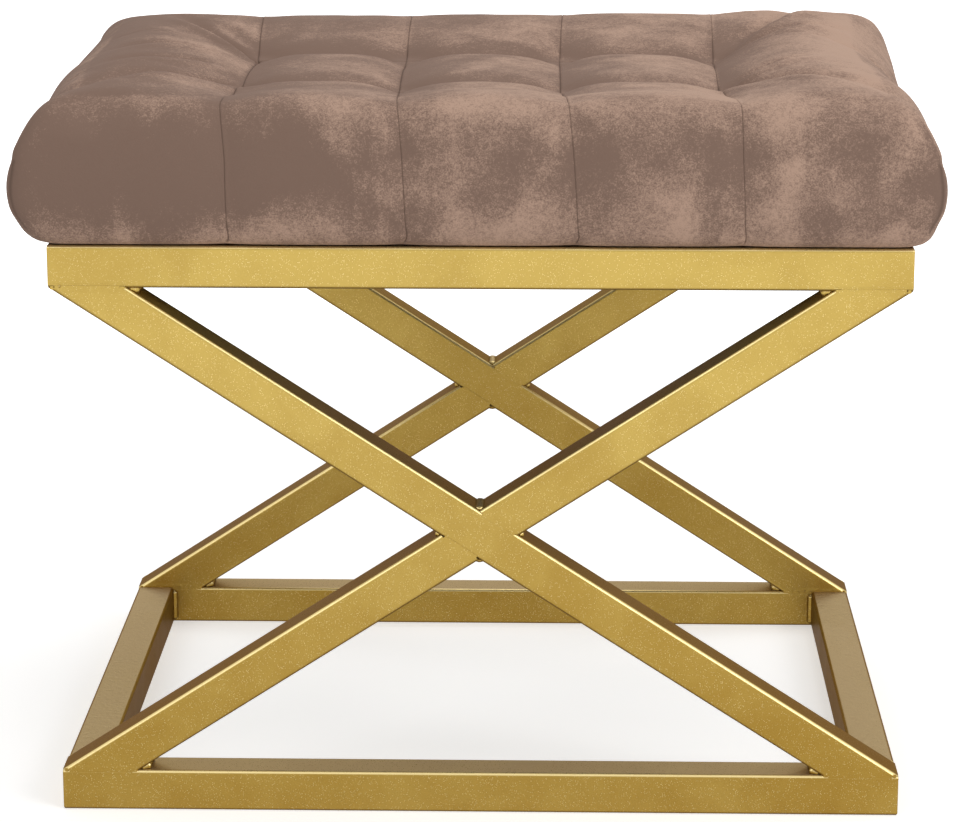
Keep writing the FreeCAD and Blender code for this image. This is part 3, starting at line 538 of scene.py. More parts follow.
@dataclass(frozen=True)
class TwistedTwine(Finish):
    """Waxed twine, its strands running round it."""
    name: str = "waxed_twine"
    slot: str = "twine"
    roughness: float = 0.7

    def paint(self, tree: Tree, place: Any, effects: EffectLibrary) -> Mapping[str, Any]:
        """Colour and relief of the twine."""
        parts = tree.parts(place)
        strands = tree.math("SINE", tree.times(tree.plus(parts[0], parts[2]), 4200.0))
        fuzz = effects.place(tree, Effect.GRAIN, Place=place, Scale=3000.0, Amount=0.8)["Value"]
        colour = tree.mix(tree.span(strands, -0.6, 0.8), srgb(150, 138, 112), srgb(214, 206, 184))
        height = tree.plus(strands, fuzz)
        return {"Base Color": colour, "Normal": self.relief(tree, height, 0.5, 0.0003)}


@dataclass(frozen=True)
class SoftFill(Finish):
    """Foam or wadding: pale, open and fibrous."""
    name: str = "seat_foam"
    slot: str = "foam"
    roughness: float = 0.95
    tone: Colour = srgb(232, 220, 186)
    pore: float = 700.0
    stretch: tuple[float, float, float] = (500.0, 500.0, 500.0)

    def paint(self, tree: Tree, place: Any, effects: EffectLibrary) -> Mapping[str, Any]:
        """Colour and relief of the filling."""
        pores = effects.place(tree, Effect.GRAIN, Place=place, Scale=self.pore, Amount=1.6)["Value"]
        strand = effects.place(tree, Effect.FIBRE, Place=place, Stretch=self.stretch)["Value"]
        shade = tuple(0.72 * part for part in self.tone)
        colour = tree.mix(tree.span(pores, -0.4, 0.3), shade, self.tone)
        height = tree.plus(pores, strand)
        return {"Base Color": colour, "Normal": self.relief(tree, height, 0.6, 0.0006)}


@dataclass(frozen=True)
class MouldedPlastic(Finish):
    """White moulded plastic with a fine texture."""
    name: str = "white_plastic"
    slot: str = "white_plastic"
    roughness: float = 0.45

    def paint(self, tree: Tree, place: Any, effects: EffectLibrary) -> Mapping[str, Any]:
        """Colour and relief of the plastic."""
        cloud = effects.place(tree, Effect.BLOTCH, Place=place, Scale=200.0, Contrast=1.5)["Value"]
        fine = effects.place(tree, Effect.GRAIN, Place=place, Scale=2500.0, Amount=1.0)["Value"]
        colour = tree.mix(tree.span(cloud, 0.2, 0.8), srgb(236, 235, 230), srgb(216, 214, 206))
        return {"Base Color": colour, "Normal": self.relief(tree, fine, 0.2, 0.0002)}


class Wardrobe:
    """Makes each finish's material once and puts it on pieces."""

    def __init__(self) -> None:
        """Start with no materials."""
        self.effects = EffectLibrary()
        self.made: dict[str, bpy.types.Material] = {}

    def material(self, finish: Finish) -> bpy.types.Material:
        """Material of a finish, made the first time it is asked for.

        Args:
            finish: the finish.

        Returns:
            Its material.
        """
        if finish.name not in self.made:
            self.made[finish.name] = finish.make(self.effects)
        return self.made[finish.name]

    def dress_nodes(self, finish: Finish, names: Sequence[str]) -> None:
        """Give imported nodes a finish.

        Args:
            finish: the finish.
            names: the nodes.
        """
        for name in names:
            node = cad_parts[name]
            if not node.material_slots:
                node.data.materials.append(None)
            for slot in node.material_slots:
                slot.material = self.material(finish)
            log.info("%s: %s", name, finish.name)

    def hand_over(self, piece: bpy.types.Object, finish: Finish, *nodes: str) -> None:
        """Finish a new piece and say what it stands for.

        Args:
            piece: the new object.
            finish: its finish.
            *nodes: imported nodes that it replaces.
        """
        if not piece.data.materials:
            piece.data.materials.append(self.material(finish))
        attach(piece, "root")
        if nodes:
            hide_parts(*nodes)
        log.info("%s: %d faces", piece.name, len(piece.data.polygons))


# Meshes

def placed(name: str, data: Any) -> bpy.types.Object:
    """Object in the scene.

    Args:
        name: the object's name.
        data: its mesh, lamp or camera.

    Returns:
        The object.
    """
    thing = bpy.data.objects.new(name, data)
    bpy.context.scene.collection.objects.link(thing)
    return thing


def mesh_object(name: str, points: Any, faces: Any, smooth: bool = True) -> bpy.types.Object:
    """Object from points in millimetres.

    Args:
        name: the object's name.
        points: rows of x, y, z.
        faces: rows of point numbers.
        smooth: smooth shading.

    Returns:
        The object, linked to the scene.
    """
    mesh = bpy.data.meshes.new(name)
    mesh.from_pydata([tuple(float(part) * MM for part in point) for point in points], [],
                     [tuple(int(index) for index in face) for face in faces])
    mesh.update()
    mesh.polygons.foreach_set("use_smooth", [smooth] * len(mesh.polygons))
    return placed(name, mesh)


def band(first: Sequence[int], second: Sequence[int], over: bool = False) -> list[tuple[int, ...]]:
    """Quads between two rings of points."""
    pairs = zip(first, np.roll(first, -1), np.roll(second, -1), second)
    return [(a, d, c, b) if over else (a, b, c, d) for a, b, c, d in pairs]


def sheet_quads(number: Array) -> list[tuple[int, ...]]:
    """Quads of a grid of point numbers."""
    return [(number[i, j], number[i + 1, j], number[i + 1, j + 1], number[i, j + 1])
            for i in range(number.shape[0] - 1) for j in range(number.shape[1] - 1)]


def stacked(rings: int, count: int, start: int = 0, over: bool = False) -> list[tuple[int, ...]]:
    """Quads of rings that follow each other, closed at both ends.

    Args:
        rings: how many.
        count: points in each.
        start: number of the first point.
        over: turn the faces over.

    Returns:
        The faces.
    """
    number = start + np.arange(rings * count).reshape(rings, count)
    faces = [quad for low, high in zip(number, number[1:]) for quad in band(low, high, over)]
    first, last = (tuple(number[0]), tuple(number[-1]))
    return faces + ([first, last[::-1]] if over else [first[::-1], last])


def put_attribute(mesh: bpy.types.Mesh, name: str, values: Any) -> None:
    """Give a mesh a number at each point."""
    layer = mesh.attributes.new(name, "FLOAT", "POINT")
    layer.data.foreach_set("value", np.asarray(values, dtype=np.float32))


def settle(piece: bpy.types.Object) -> bpy.types.Object:
    """Replace an object's mesh by its evaluated one and drop its modifiers.

    Args:
        piece: the object.

    Returns:
        The same object.
    """
    graph = bpy.context.evaluated_depsgraph_get()
    graph.update()
    made = bpy.data.meshes.new_from_object(piece.evaluated_get(graph), depsgraph=graph)
    piece.modifiers.clear()
    piece.data = made
    made.name = piece.name
    return piece


def run_nodes(piece: bpy.types.Object, group: bpy.types.NodeTree,
              values: Mapping[str, Any]) -> bpy.types.Object:
    """Run a geometry node group on an object and keep the result as a plain mesh.

    Args:
        piece: the object.
        group: the group.
        values: its inputs by name.

    Returns:
        The object.
    """
    modifier = piece.modifiers.new(group.name, "NODES")
    modifier.node_group = group
    keys = {item.name: item.identifier for item in group.interface.items_tree if item.in_out == "INPUT"}
    for name, value in values.items():
        modifier[keys[name]] = value
    return settle(piece)


class NodeWorkshop:
    """The geometry node groups that several sub-assemblies use."""

    def __init__(self) -> None:
        """Build the groups."""
        self.scatter = self.make_scatter()
        self.ripple = self.make_ripple()

    @staticmethod
    def make_scatter() -> bpy.types.NodeTree:
        """Group that puts one piece on every point, turned by the points' own turn and size."""
        def inside(tree: Tree, given: Any) -> Mapping[str, Any]:
            """Instance, realize and colour."""
            piece = tree.add("GeometryNodeObjectInfo", {"Object": given["Piece"]})
            turn = tree.named("turn")
            grow = tree.named("grow")
            wobble = tree.add("FunctionNodeRandomValue", {"Seed": given["Seed"]}, data_type="FLOAT_VECTOR")
            centred = tree.vector_math("SUBTRACT", wobble.outputs[0], (0.5, 0.5, 0.5)).outputs[0]
            tilt = tree.add("ShaderNodeVectorMath", {0: centred, "Scale": given["Wobble"]}, operation="SCALE")
            upright = tree.add("ShaderNodeCombineXYZ", {2: turn}).outputs[0]
            angle = tree.vector_math("ADD", upright, tilt.outputs[0]).outputs[0]
            copies = tree.add("GeometryNodeInstanceOnPoints",
                              {"Points": given["Geometry"], "Instance": piece.outputs["Geometry"],
                               "Rotation": angle, "Scale": grow})
            return tree.made_of(copies.outputs[0], given["Material"])
        return new_group("piece_on_points", "GeometryNodeTree",
                         (("Geometry", "geometry", None), ("Piece", "object", None), ("Wobble", "value", 0.0),
                          ("Seed", "whole", 1), ("Material", "material", None)),
                         (("Geometry", "geometry", None),), inside)

    @staticmethod
    def make_ripple() -> bpy.types.NodeTree:
        """Group that raises the ripples of a weld along a plain bead."""
        def inside(tree: Tree, given: Any) -> Mapping[str, Any]:
            """Push the bead's face out in arcs, with some unevenness."""
            along = tree.named("along")
            face = tree.named("face")
            place = tree.add("GeometryNodeInputPosition").outputs[0]
            out = tree.add("GeometryNodeInputNormal").outputs[0]
            uneven = tree.noise(place, 160.0, 2.0)
            late = tree.math("MULTIPLY_ADD", face, -0.9, along)
            phase = tree.times(tree.math("DIVIDE", late, given["Pitch"]), math.pi)
            arc = tree.math("ABSOLUTE", tree.math("SINE", tree.plus(phase, uneven)))
            lift = tree.times(tree.times(arc, given["Height"]), face)
            crown = tree.times(tree.times(given["Crown"], face), uneven)
            push = tree.add("ShaderNodeVectorMath", {0: out, "Scale": tree.plus(lift, crown)},
                            operation="SCALE").outputs[0]
            moved = tree.add("GeometryNodeSetPosition", {"Geometry": given["Geometry"], "Offset": push})
            return tree.made_of(moved.outputs[0], given["Material"])
        return new_group("weld_ripples", "GeometryNodeTree",
                         (("Geometry", "geometry", None), ("Pitch", "value", 0.0016),
                          ("Height", "value", 0.0003), ("Crown", "value", 0.0008),
                          ("Material", "material", None)),
                         (("Geometry", "geometry", None),), inside)

    def spread(self, name: str, template: bpy.types.Object, spots: Sequence[Sequence[float]],
               material: bpy.types.Material, wobble: float = 0.0, seed: int = 1) -> bpy.types.Object:
        """Copies of one piece as one mesh.

        Args:
            name: name of the result.
            template: the piece, about the origin; it is deleted.
            spots: x, y, z in millimetres, turn in radians and size of each copy.
            material: its material.
            wobble: most that a copy is turned at random, in radians.
            seed: seed of the random turns.

        Returns:
            The object.
        """
        host = mesh_object(name, [spot[:3] for spot in spots], [])
        put_attribute(host.data, "turn", [spot[3] for spot in spots])
        put_attribute(host.data, "grow", [spot[4] for spot in spots])
        run_nodes(host, self.scatter, {"Piece": template, "Wobble": wobble, "Seed": seed,
                                       "Material": material})
        bpy.data.objects.remove(template)
        return host


# Frame

CORNERS = ((1, 1), (1, -1), (-1, 1), (-1, -1))


@dataclass
class WeldBead:
    """Fillet weld along one line: its cross-section's corner and toes, swept along an axis."""
    corner: Sequence[float]
    toes: tuple[Sequence[float], Sequence[float]]
    run: Sequence[float]

    def build(self, points: list[Array], faces: list[Sequence[int]], along: list[float],
              face: list[float]) -> None:
        """Add the bead to lists of points and faces.

        Args:
            points: mesh points, in millimetres.
            faces: mesh faces.
            along: distance of each point along the bead, in metres.
            face: how far each point lies from the toes, 0 to 1.
        """
        corner, first, second, run = (np.array(part, float)
                                      for part in (self.corner, *self.toes, self.run))
        steps = max(8, int(np.linalg.norm(run) / 0.4))
        shares = np.linspace(0, 1, 9)
        start = len(points)
        ring = [first + (second - first) * share for share in shares] + [corner]
        weights = [math.sin(math.pi * share) for share in shares] + [0.0]
        for step in range(steps + 1):
            share = step / steps
            end = min(1.0, min(share, 1 - share) * np.linalg.norm(run) / 1.6 + 0.35)
            for spot, weight in zip(ring, weights):
                points.append(corner + (spot - corner) * end + run * (share - 0.5))
                along.append(share * np.linalg.norm(run) * MM)
                face.append(weight)
        faces.extend(stacked(steps + 1, len(ring), start))


@dataclass
class WeldedFrame:
    """Two X panels joined by side rails, with their weld beads and end plates."""
    width: float = 500.0
    depth: float = 400.0
    height: float = 345.0
    tube: float = 25.0
    rounding: float = 2.2
    leg: float = 3.0
    acute_reach: float = 7.0
    tab_row: float = 120.0
    tab_width: float = 30.0
    tab_thickness: float = 3.0
    kept: Sequence[str] = ("front_top_rail", "front_bottom_rail", "front_long_brace",
                           "front_upper_half_brace", "front_lower_half_brace", "front_ground_welds",
                           "rear_top_rail", "rear_bottom_rail", "rear_long_brace",
                           "rear_upper_half_brace", "rear_lower_half_brace", "rear_ground_welds",
                           "left_top_rail", "right_top_rail", "left_bottom_rail", "right_bottom_rail",
                           "tube_end_plates", "seat_fixing_tabs")

    @property
    def angle(self) -> float:
        """Lean of a brace, in radians."""
        rise = self.height - 2 * self.tube
        return math.asin(self.tube / math.hypot(self.width, rise)) + math.atan2(rise, self.width)

    def panel_beads(self, y: float) -> list[WeldBead]:
        """Beads of one X panel.

        Args:
            y: the panel's middle.

        Returns:
            Beads at the braces' narrow corners and round the crossing.
        """
        lean, middle = self.angle, self.height / 2
        foot = self.tube / math.sin(lean)
        run = (0, self.tube - 2 * self.rounding, 0)
        beads = []
        for across, up in CORNERS:
            x, z = across * (self.width / 2 - foot), middle + up * (middle - self.tube)
            rail_toe = (x - across * self.acute_reach, y, z)
            brace_toe = (x - across * self.acute_reach * math.cos(lean), y,
                         z - up * self.acute_reach * math.sin(lean))
            beads.append(WeldBead((x, y, z), self.outward(rail_toe, brace_toe, (x, y, z)), run))
        leg_x, leg_z = self.leg * math.cos(lean), self.leg * math.sin(lean)
        for way in (1, -1):
            x = way * foot / 2
            toes = ((x + way * leg_x, y, middle + leg_z), (x + way * leg_x, y, middle - leg_z))
            beads.append(WeldBead((x, y, middle), self.outward(*toes, (x, y, middle)), run))
            z = middle + way * self.tube / 2 / math.cos(lean)
            toes = ((leg_x, y, z + way * leg_z), (-leg_x, y, z + way * leg_z))
            beads.append(WeldBead((0, y, z), self.outward(*toes, (0, y, z)), run))
        return beads

    @staticmethod
    def outward(first: Sequence[float], second: Sequence[float],
                corner: Sequence[float]) -> tuple[Sequence[float], Sequence[float]]:
        """Toes in the order that turns a bead's faces outwards along a run in +Y or +Z.

        Args:
            first: one toe.
            second: the other.
            corner: the bead's corner.

        Returns:
            The two toes.
        """
        one, two = np.subtract(first, corner), np.subtract(second, corner)
        turn = np.cross(one, two)
        return (first, second) if turn.sum() > 0 else (second, first)

    def side_beads(self) -> list[WeldBead]:
        """Upright beads inside the corners of the bottom and top rings."""
        beads = []
        x, y = self.width / 2 - self.tube, self.depth / 2 - self.tube
        run = (0, 0, self.tube - 2 * self.rounding)
        for across, back in CORNERS:
            for z in (self.tube / 2, self.height - self.tube / 2):
                corner = (across * x, back * y, z)
                toes = ((across * (x - self.leg), back * y, z), (across * x, back * (y - self.leg), z))
                beads.append(WeldBead(corner, self.outward(*toes, corner), run))
        return beads

    def tab_beads(self) -> list[WeldBead]:
        """Beads under the seat fixing tabs."""
        beads = []
        x, z = self.width / 2 - self.tube, self.height - self.tab_thickness
        for across, back in CORNERS:
            corner = (across * x, back * self.tab_row, z)
            toes = ((across * (x - self.leg), back * self.tab_row, z),
                    (across * x, back * self.tab_row, z - self.leg))
            beads.append(WeldBead(corner, self.outward(*toes, corner), (0, self.tab_width, 0)))
        return beads

    def weld(self, name: str, beads: Sequence[WeldBead], workshop: NodeWorkshop,
             wardrobe: Wardrobe) -> None:
        """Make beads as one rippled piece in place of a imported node.

        Args:
            name: the node's name.
            beads: its beads.
            workshop: geometry node groups.
            wardrobe: materials.
        """
        points: list[Array] = []
        faces: list[Sequence[int]] = []
        along: list[float] = []
        face: list[float] = []
        for bead in beads:
            bead.build(points, faces, along, face)
        piece = mesh_object(f"rippled_{name}", points, faces)
        put_attribute(piece.data, "along", along)
        put_attribute(piece.data, "face", face)
        paint = GoldPaint()
        run_nodes(piece, workshop.ripple, {"Material": wardrobe.material(paint)})
        wardrobe.hand_over(piece, paint, name)

    def spatter(self, workshop: NodeWorkshop, wardrobe: Wardrobe) -> None:
        """Add the few drops of weld metal that were painted over."""
        half_y, top = self.depth / 2, self.tube
        spots = ((225.0, -half_y + 6, top, 1.5), (239.0, -half_y + 3.5, top, 1.9),
                 (246.0, -half_y + 9, top, 1.3), (-238.0, -half_y + 15, top, 1.1),
                 (24.5, half_y - 0.6, self.height / 2 + 1.5, 1.2),
                 (27.0, -half_y + 14, self.height / 2 + 3, 0.9),
                 (-243.0, -half_y, self.height - self.tube + 1, 0.8), (207.0, -half_y + 1, top + 0.4, 1.2))
        bead = bmesh.new()
        bmesh.ops.create_icosphere(bead, subdivisions=2, radius=MM)
        mesh = bpy.data.meshes.new("weld_drop")
        bead.to_mesh(mesh)
        bead.free()
        mesh.polygons.foreach_set("use_smooth", [True] * len(mesh.polygons))
        template = placed("weld_drop", mesh)
        paint = GoldPaint()
        rows = [(x, y, z, index * 0.7, size) for index, (x, y, z, size) in enumerate(spots)]
        piece = workshop.spread("weld_spatter", template, rows, wardrobe.material(paint), 0.6, 7)
        wardrobe.hand_over(piece, paint)

    def weld_ends(self, wardrobe: Wardrobe) -> None:
        """Fill the rounded seams beyond the ground welds, at both ends of each joint."""
        half_y, foot, round_ = self.depth / 2, self.tube / math.sin(self.angle), self.rounding
        points: list[Array] = []
        faces: list[Sequence[int]] = []
        for across in (1, -1):
            for z in (self.tube, self.height - self.tube):
                for y, way in ((-half_y, 1), (half_y - self.tube, 1), (half_y, -1), (self.tube - half_y, -1)):
                    for x, length in ((self.width / 2 - 2.6, 3.6), (self.width / 2 - foot + 3.4, 6.0)):
                        corner = (across * x, y + way * (0.1 + round_), z)
                        toes = tuple((across * x, y + 0.08 * way, z + part * round_) for part in (0.5, -0.5))
                        WeldBead(corner, toes if way < 0 else toes[::-1], (length, 0, 0)).build(
                            points, faces, [], [])
        wardrobe.hand_over(mesh_object("ground_weld_ends", points, faces, False), GoldPaint())

    def build(self, workshop: NodeWorkshop, wardrobe: Wardrobe) -> None:
        """Dress the tubes and make the welds.

        Args:
            workshop: geometry node groups.
            wardrobe: materials.
        """
        wardrobe.dress_nodes(GoldPaint(), self.kept)
        panel = (self.depth - self.tube) / 2
        self.weld("front_panel_welds", self.panel_beads(-panel), workshop, wardrobe)
        self.weld("rear_panel_welds", self.panel_beads(panel), workshop, wardrobe)
        self.weld("side_rail_welds", self.side_beads(), workshop, wardrobe)
        self.weld("tab_welds", self.tab_beads(), workshop, wardrobe)
        self.spatter(workshop, wardrobe)
        self.weld_ends(wardrobe)


# Seat fixings

@dataclass
class SeatFixings:
    """Screws, washers, threaded inserts, staples and twines that hold the seat together."""
    screw_x: float = 203.0
    screw_y: float = 120.0
    head_bottom: float = 336.4
    head_height: float = 4.0
    across_flats: float = 10.0
    shank_radius: float = 3.0
    shank_length: float = 16.0
    thread_pitch: float = 1.0
    crown: float = 10.0
    wire_width: float = 1.0
    wire_thickness: float = 0.6
    staple_leg: float = 8.0
    screw_turns: Sequence[float] = (0.3, 1.1, 0.7, 0.05)
    cover_ring: Sequence[float] = (228.5, 176.0, 419.0, 314.0, 27.0, 345.4)
    cloth_ring: Sequence[float] = (211.5, 159.0, 400.0, 150.0, 50.0, 344.4)

    def make_screw(self) -> bpy.types.Object:
        """Hexagon screw about the Z axis, with a chamfered head and a thread of fine ridges."""
        rings: list[tuple[float, float, bool]] = []
        corner = self.across_flats / 2 / math.cos(math.pi / 6)
        flat = self.across_flats / 2
        z = self.head_bottom
        rings += [(flat * 0.90, z, False), (corner, z + 0.45, True), (corner, z + self.head_height, True)]
        rings += [(self.shank_radius, z + self.head_height, False)]
        low = z + self.head_height + 1.5
        top = z + self.head_height + self.shank_length
        turns = int((top - low) / self.thread_pitch)
        for index in range(turns):
            base = low + index * self.thread_pitch
            rings += [(self.shank_radius, base, False),
                      (self.shank_radius * 0.86, base + self.thread_pitch / 2, False)]
        rings += [(self.shank_radius * 0.8, top, False)]
        count = 24
        points = []
        for radius, height, hexagon in rings:
            for step in range(count):
                angle = 2 * math.pi * step / count
                reach = radius
                if hexagon:
                    within = (angle + math.pi / 6) % (math.pi / 3) - math.pi / 6
                    reach = min(radius, flat / math.cos(within))
                points.append((reach * math.cos(angle), reach * math.sin(angle), height))
        return mesh_object("screw_template", points, stacked(len(rings), count), False)

    def make_staple(self) -> bpy.types.Object:
        """Staple about the origin: crown along X at the bottom, legs up, bends rounded."""
        half, wire, radius = self.crown / 2 - self.wire_thickness / 2, self.wire_thickness / 2, 1.0
        path = [(-half, self.staple_leg)]
        for step in range(4):
            angle = math.pi + step * math.pi / 6
            path.append((-half + radius + radius * math.cos(angle), wire + radius + radius * math.sin(angle)))
        path += [(-x, z) for x, z in reversed(path)]
        points = []
        for index, (x, z) in enumerate(path):
            before, after = path[max(0, index - 1)], path[min(len(path) - 1, index + 1)]
            along = np.array((after[0] - before[0], after[1] - before[1]))
            along /= np.linalg.norm(along)
            side = np.array((along[1], -along[0]))
            point = index in (0, len(path) - 1)
            for out, width in ((1, 1), (1, -1), (-1, -1), (-1, 1)):
                reach = wire * (0.4 if point else 1.0)
                breadth = width * self.wire_width / 2 * (0.5 if point else 1.0)
                points.append((x + side[0] * out * reach, breadth, z + side[1] * out * reach))
        return mesh_object("staple_template", points, stacked(len(path), 4, over=True))

    @staticmethod
    def ring(line_x: float, line_y: float, span_x: float, span_y: float, pitch: float,
             z: float) -> list[tuple[float, ...]]:
        """Places of a ring of staples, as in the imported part.

        Args:
            line_x: lines at the sides.
            line_y: lines at the front and rear.
            span_x: first to last along X.
            span_y: first to last along Y.
            pitch: about how far apart.
            z: bottom of the crowns.

        Returns:
            x, y, z, turn and size of each.
        """
        rows: list[tuple[float, ...]] = []
        for way in (-1, 1):
            for span, turned in ((span_x, False), (span_y, True)):
                steps = max(1, round(span / pitch))
                for index in range(steps + 1):
                    spot = span * (index / steps - 0.5)
                    x, y = (way * line_x, spot) if turned else (spot, way * line_y)
                    rows.append((x, y, z, math.pi / 2 if turned else 0.0, 1.0))
        return rows

    def build(self, workshop: NodeWorkshop, wardrobe: Wardrobe) -> None:
        """Make the screws and staples and dress the other small parts.

        Args:
            workshop: geometry node groups.
            wardrobe: materials.
        """
        zinc = BareSteel()
        wire = BareSteel("staple_wire", "staple_wire", 0.42, srgb(176, 176, 178), 400.0)
        spots = [(x * self.screw_x, y * self.screw_y, 0.0, turn, 1.0)
                 for (x, y), turn in zip(CORNERS, self.screw_turns)]
        screws = workshop.spread("hexagon_seat_screws", self.make_screw(), spots, wardrobe.material(zinc))
        wardrobe.hand_over(screws, zinc, "seat_screws")
        cover = workshop.spread("driven_cover_staples", self.make_staple(),
                                self.ring(*self.cover_ring),
                                wardrobe.material(wire))
        wardrobe.hand_over(cover, wire, "cover_staples")
        cloth = workshop.spread("driven_dust_cloth_staples", self.make_staple(),
                                self.ring(*self.cloth_ring),
                                wardrobe.material(wire))
        wardrobe.hand_over(cloth, wire, "dust_cloth_staples")
        wardrobe.dress_nodes(zinc, ("seat_screw_washers", "seat_threaded_inserts"))
        wardrobe.dress_nodes(TwistedTwine(), ("tufting_twines",))
        wardrobe.dress_nodes(MouldedPlastic(), ("twine_washers",))
        wardrobe.dress_nodes(Plywood(), ("seat_board",))


# Seat

class Side(Enum):
    """Sides of the seat, in order round it."""
    FRONT = 0
    RIGHT = 1
    REAR = 2
    LEFT = 3


@dataclass
class SoftGrid:
    """Points of the seat: a grid over the top and rings down its sides and in under it."""
    top: Array
    rings: Array

    def copy(self) -> "SoftGrid":
        """Copy of both arrays."""
        return SoftGrid(self.top.copy(), self.rings.copy())

    def blend(self, other: "SoftGrid", share: Any, ring_share: Any) -> "SoftGrid":
        """Points moved along another grid's vectors."""
        return SoftGrid(self.top + other.top * share, self.rings + other.rings * ring_share)


@dataclass
class SeatForm:
    """Shape of the tufted seat before and after its cloth is blown up."""
    half_x: float = 257.5
    half_y: float = 205.0
    base: float = 345.4
    crest: float = 434.0
    shift_x: float = -1.6
    lid_inset: float = 24.0
    corner_radius: float = 10.0
    corner_growth: float = 0.02
    step: float = 5.2
    tuft_x: float = 148.5
    seam_x: float = 49.5
    tuft_y: float = 67.0
    # Front and rear value of each depth
    tuft_depth: tuple[float, float] = (14.5, 16.5)
    tuft_floor: tuple[float, float] = (12.0, 10.4)
    edge_depth: tuple[float, float] = (3.6, 1.0)
    arc_depth: tuple[float, float] = (5.8, 5.8)
    end_depth: tuple[float, float] = (3.0, 2.0)
    bridge_depth: float = 6.5
    tuck_depth: float = 3.0
    seam_width: float = 17.0
    cross_width: float = 14.0
    fade: float = 13.0
    swell: float = 3.0
    turn_under: float = 40.0
    # Outline of a side from the lid down: outwards from the base's line, and height
    profile: Sequence[tuple[float, float]] = (
        (-24.0, 433.6), (-17.5, 432.8), (-11.5, 430.6), (-6.0, 426.4), (-1.4, 420.0), (2.8, 411.5),
        (6.2, 402.0), (8.8, 392.0), (10.1, 382.5), (10.2, 373.5), (9.0, 364.5), (6.4, 356.8),
        (2.8, 350.8), (-1.6, 347.0), (-6.4, 345.5))
    # Crest of the top against y, and how much fuller each side is against y and against z
    crest_y: Sequence[float] = (-215.0, -170.0, -120.0, -67.0, -20.0, 30.0, 67.0, 110.0, 150.0, 185.0, 215.0)
    crest_z: Sequence[float] = (433.0, 433.2, 427.8, 428.2, 427.0, 426.2, 426.6, 430.4, 433.8, 434.0, 432.8)
    crest_tilt: float = 0.009
    full_y: Sequence[float] = (-205.0, -170.0, -130.0, -88.0, -50.0, 0.0, 60.0, 130.0, 205.0)
    full_left: Sequence[float] = (6.4, 6.2, 5.5, 6.0, 9.5, 13.0, 14.5, 13.0, 12.0)
    full_right: Sequence[float] = (5.2, 5.2, 6.0, 7.0, 6.0, 4.0, 4.0, 6.5, 12.5)
    full_z: Sequence[float] = (345.0, 350.0, 365.0, 380.0, 400.0, 416.0, 426.0, 434.0)
    full_front: Sequence[float] = (0.0, 0.45, 0.9, 1.0, 0.9, 0.7, 0.6, 0.5)
    full_rear: Sequence[float] = (0.0, 0.3, 0.6, 0.8, 0.95, 1.0, 0.95, 0.8)
    # How far each long seam wanders from its line, from the rear's foot to the front's
    wander_y: Sequence[float] = (-300.0, -250.0, -200.0, -67.0, 67.0, 200.0, 300.0)
    wander_x: Sequence[Sequence[float]] = (
        (5.4, 4.7, 0.8, 1.5, 0.5, -6.4, -5.0), (9.2, 7.0, 3.8, -1.0, -2.5, -3.8, -3.0),
        (8.8, 6.2, 3.2, -1.8, -2.4, -0.4, 0.0), (5.3, 3.5, 2.9, -4.5, -2.2, 1.4, 1.0))

    def __post_init__(self) -> None:
        """Lay out the grid's lines."""
        corner = self.corner_radius * (1 - math.sqrt(0.5))
        self.reach_x = self.half_x - self.lid_inset - corner
        self.reach_y = self.half_y - self.lid_inset - corner
        self.lines_x = self.lines(self.reach_x, self.seams)
        self.lines_y = self.lines(self.reach_y, (-self.tuft_y, self.tuft_y))
        outs, heights = np.array(self.profile).T
        lengths = np.concatenate(([0], np.cumsum(np.hypot(np.diff(outs), np.diff(heights)))))
        fine = np.linspace(0, lengths[-1], 24)
        self.ring_out = smooth_through(lengths, outs, fine)
        self.ring_z = smooth_through(lengths, heights, fine)
        inward = np.linspace(-self.turn_under, outs[-1], 6)[:-1][::-1]
        self.ring_out = np.concatenate((self.ring_out, inward))
        self.ring_z = np.concatenate((self.ring_z, np.full(len(inward), self.base)))
        self.side_rows = len(fine)

    @property
    def seams(self) -> tuple[float, ...]:
        """Places of the long seams along X."""
        return -self.tuft_x, -self.seam_x, self.seam_x, self.tuft_x

    def to_seams(self, x: Array) -> Array:
        """Distance from the nearest long seam."""
        return np.min([np.abs(x - seam) for seam in self.seams], axis=0)

    def lines(self, reach: float, seams: Sequence[float]) -> Array:
        """Grid lines from -reach to reach, one on each seam and closer beside it."""
        marks = [-reach, *seams, reach]
        spots: list[float] = []
        for index, (low, high) in enumerate(zip(marks, marks[1:])):
            near_low, near_high = index > 0, index < len(marks) - 2
            start = low + (3.2 if near_low else 0.0)
            stop = high - (3.2 if near_high else 0.0)
            inner = np.linspace(start, stop, max(2, round((stop - start) / self.step)) + 1)
            spots += [low] + ([low + 1.1] if near_low else [])
            spots += list(inner if near_low else inner[1:])
            spots += [high - 1.1] if near_high else []
            if not near_high:
                spots.pop()
        return np.array(spots + [reach])

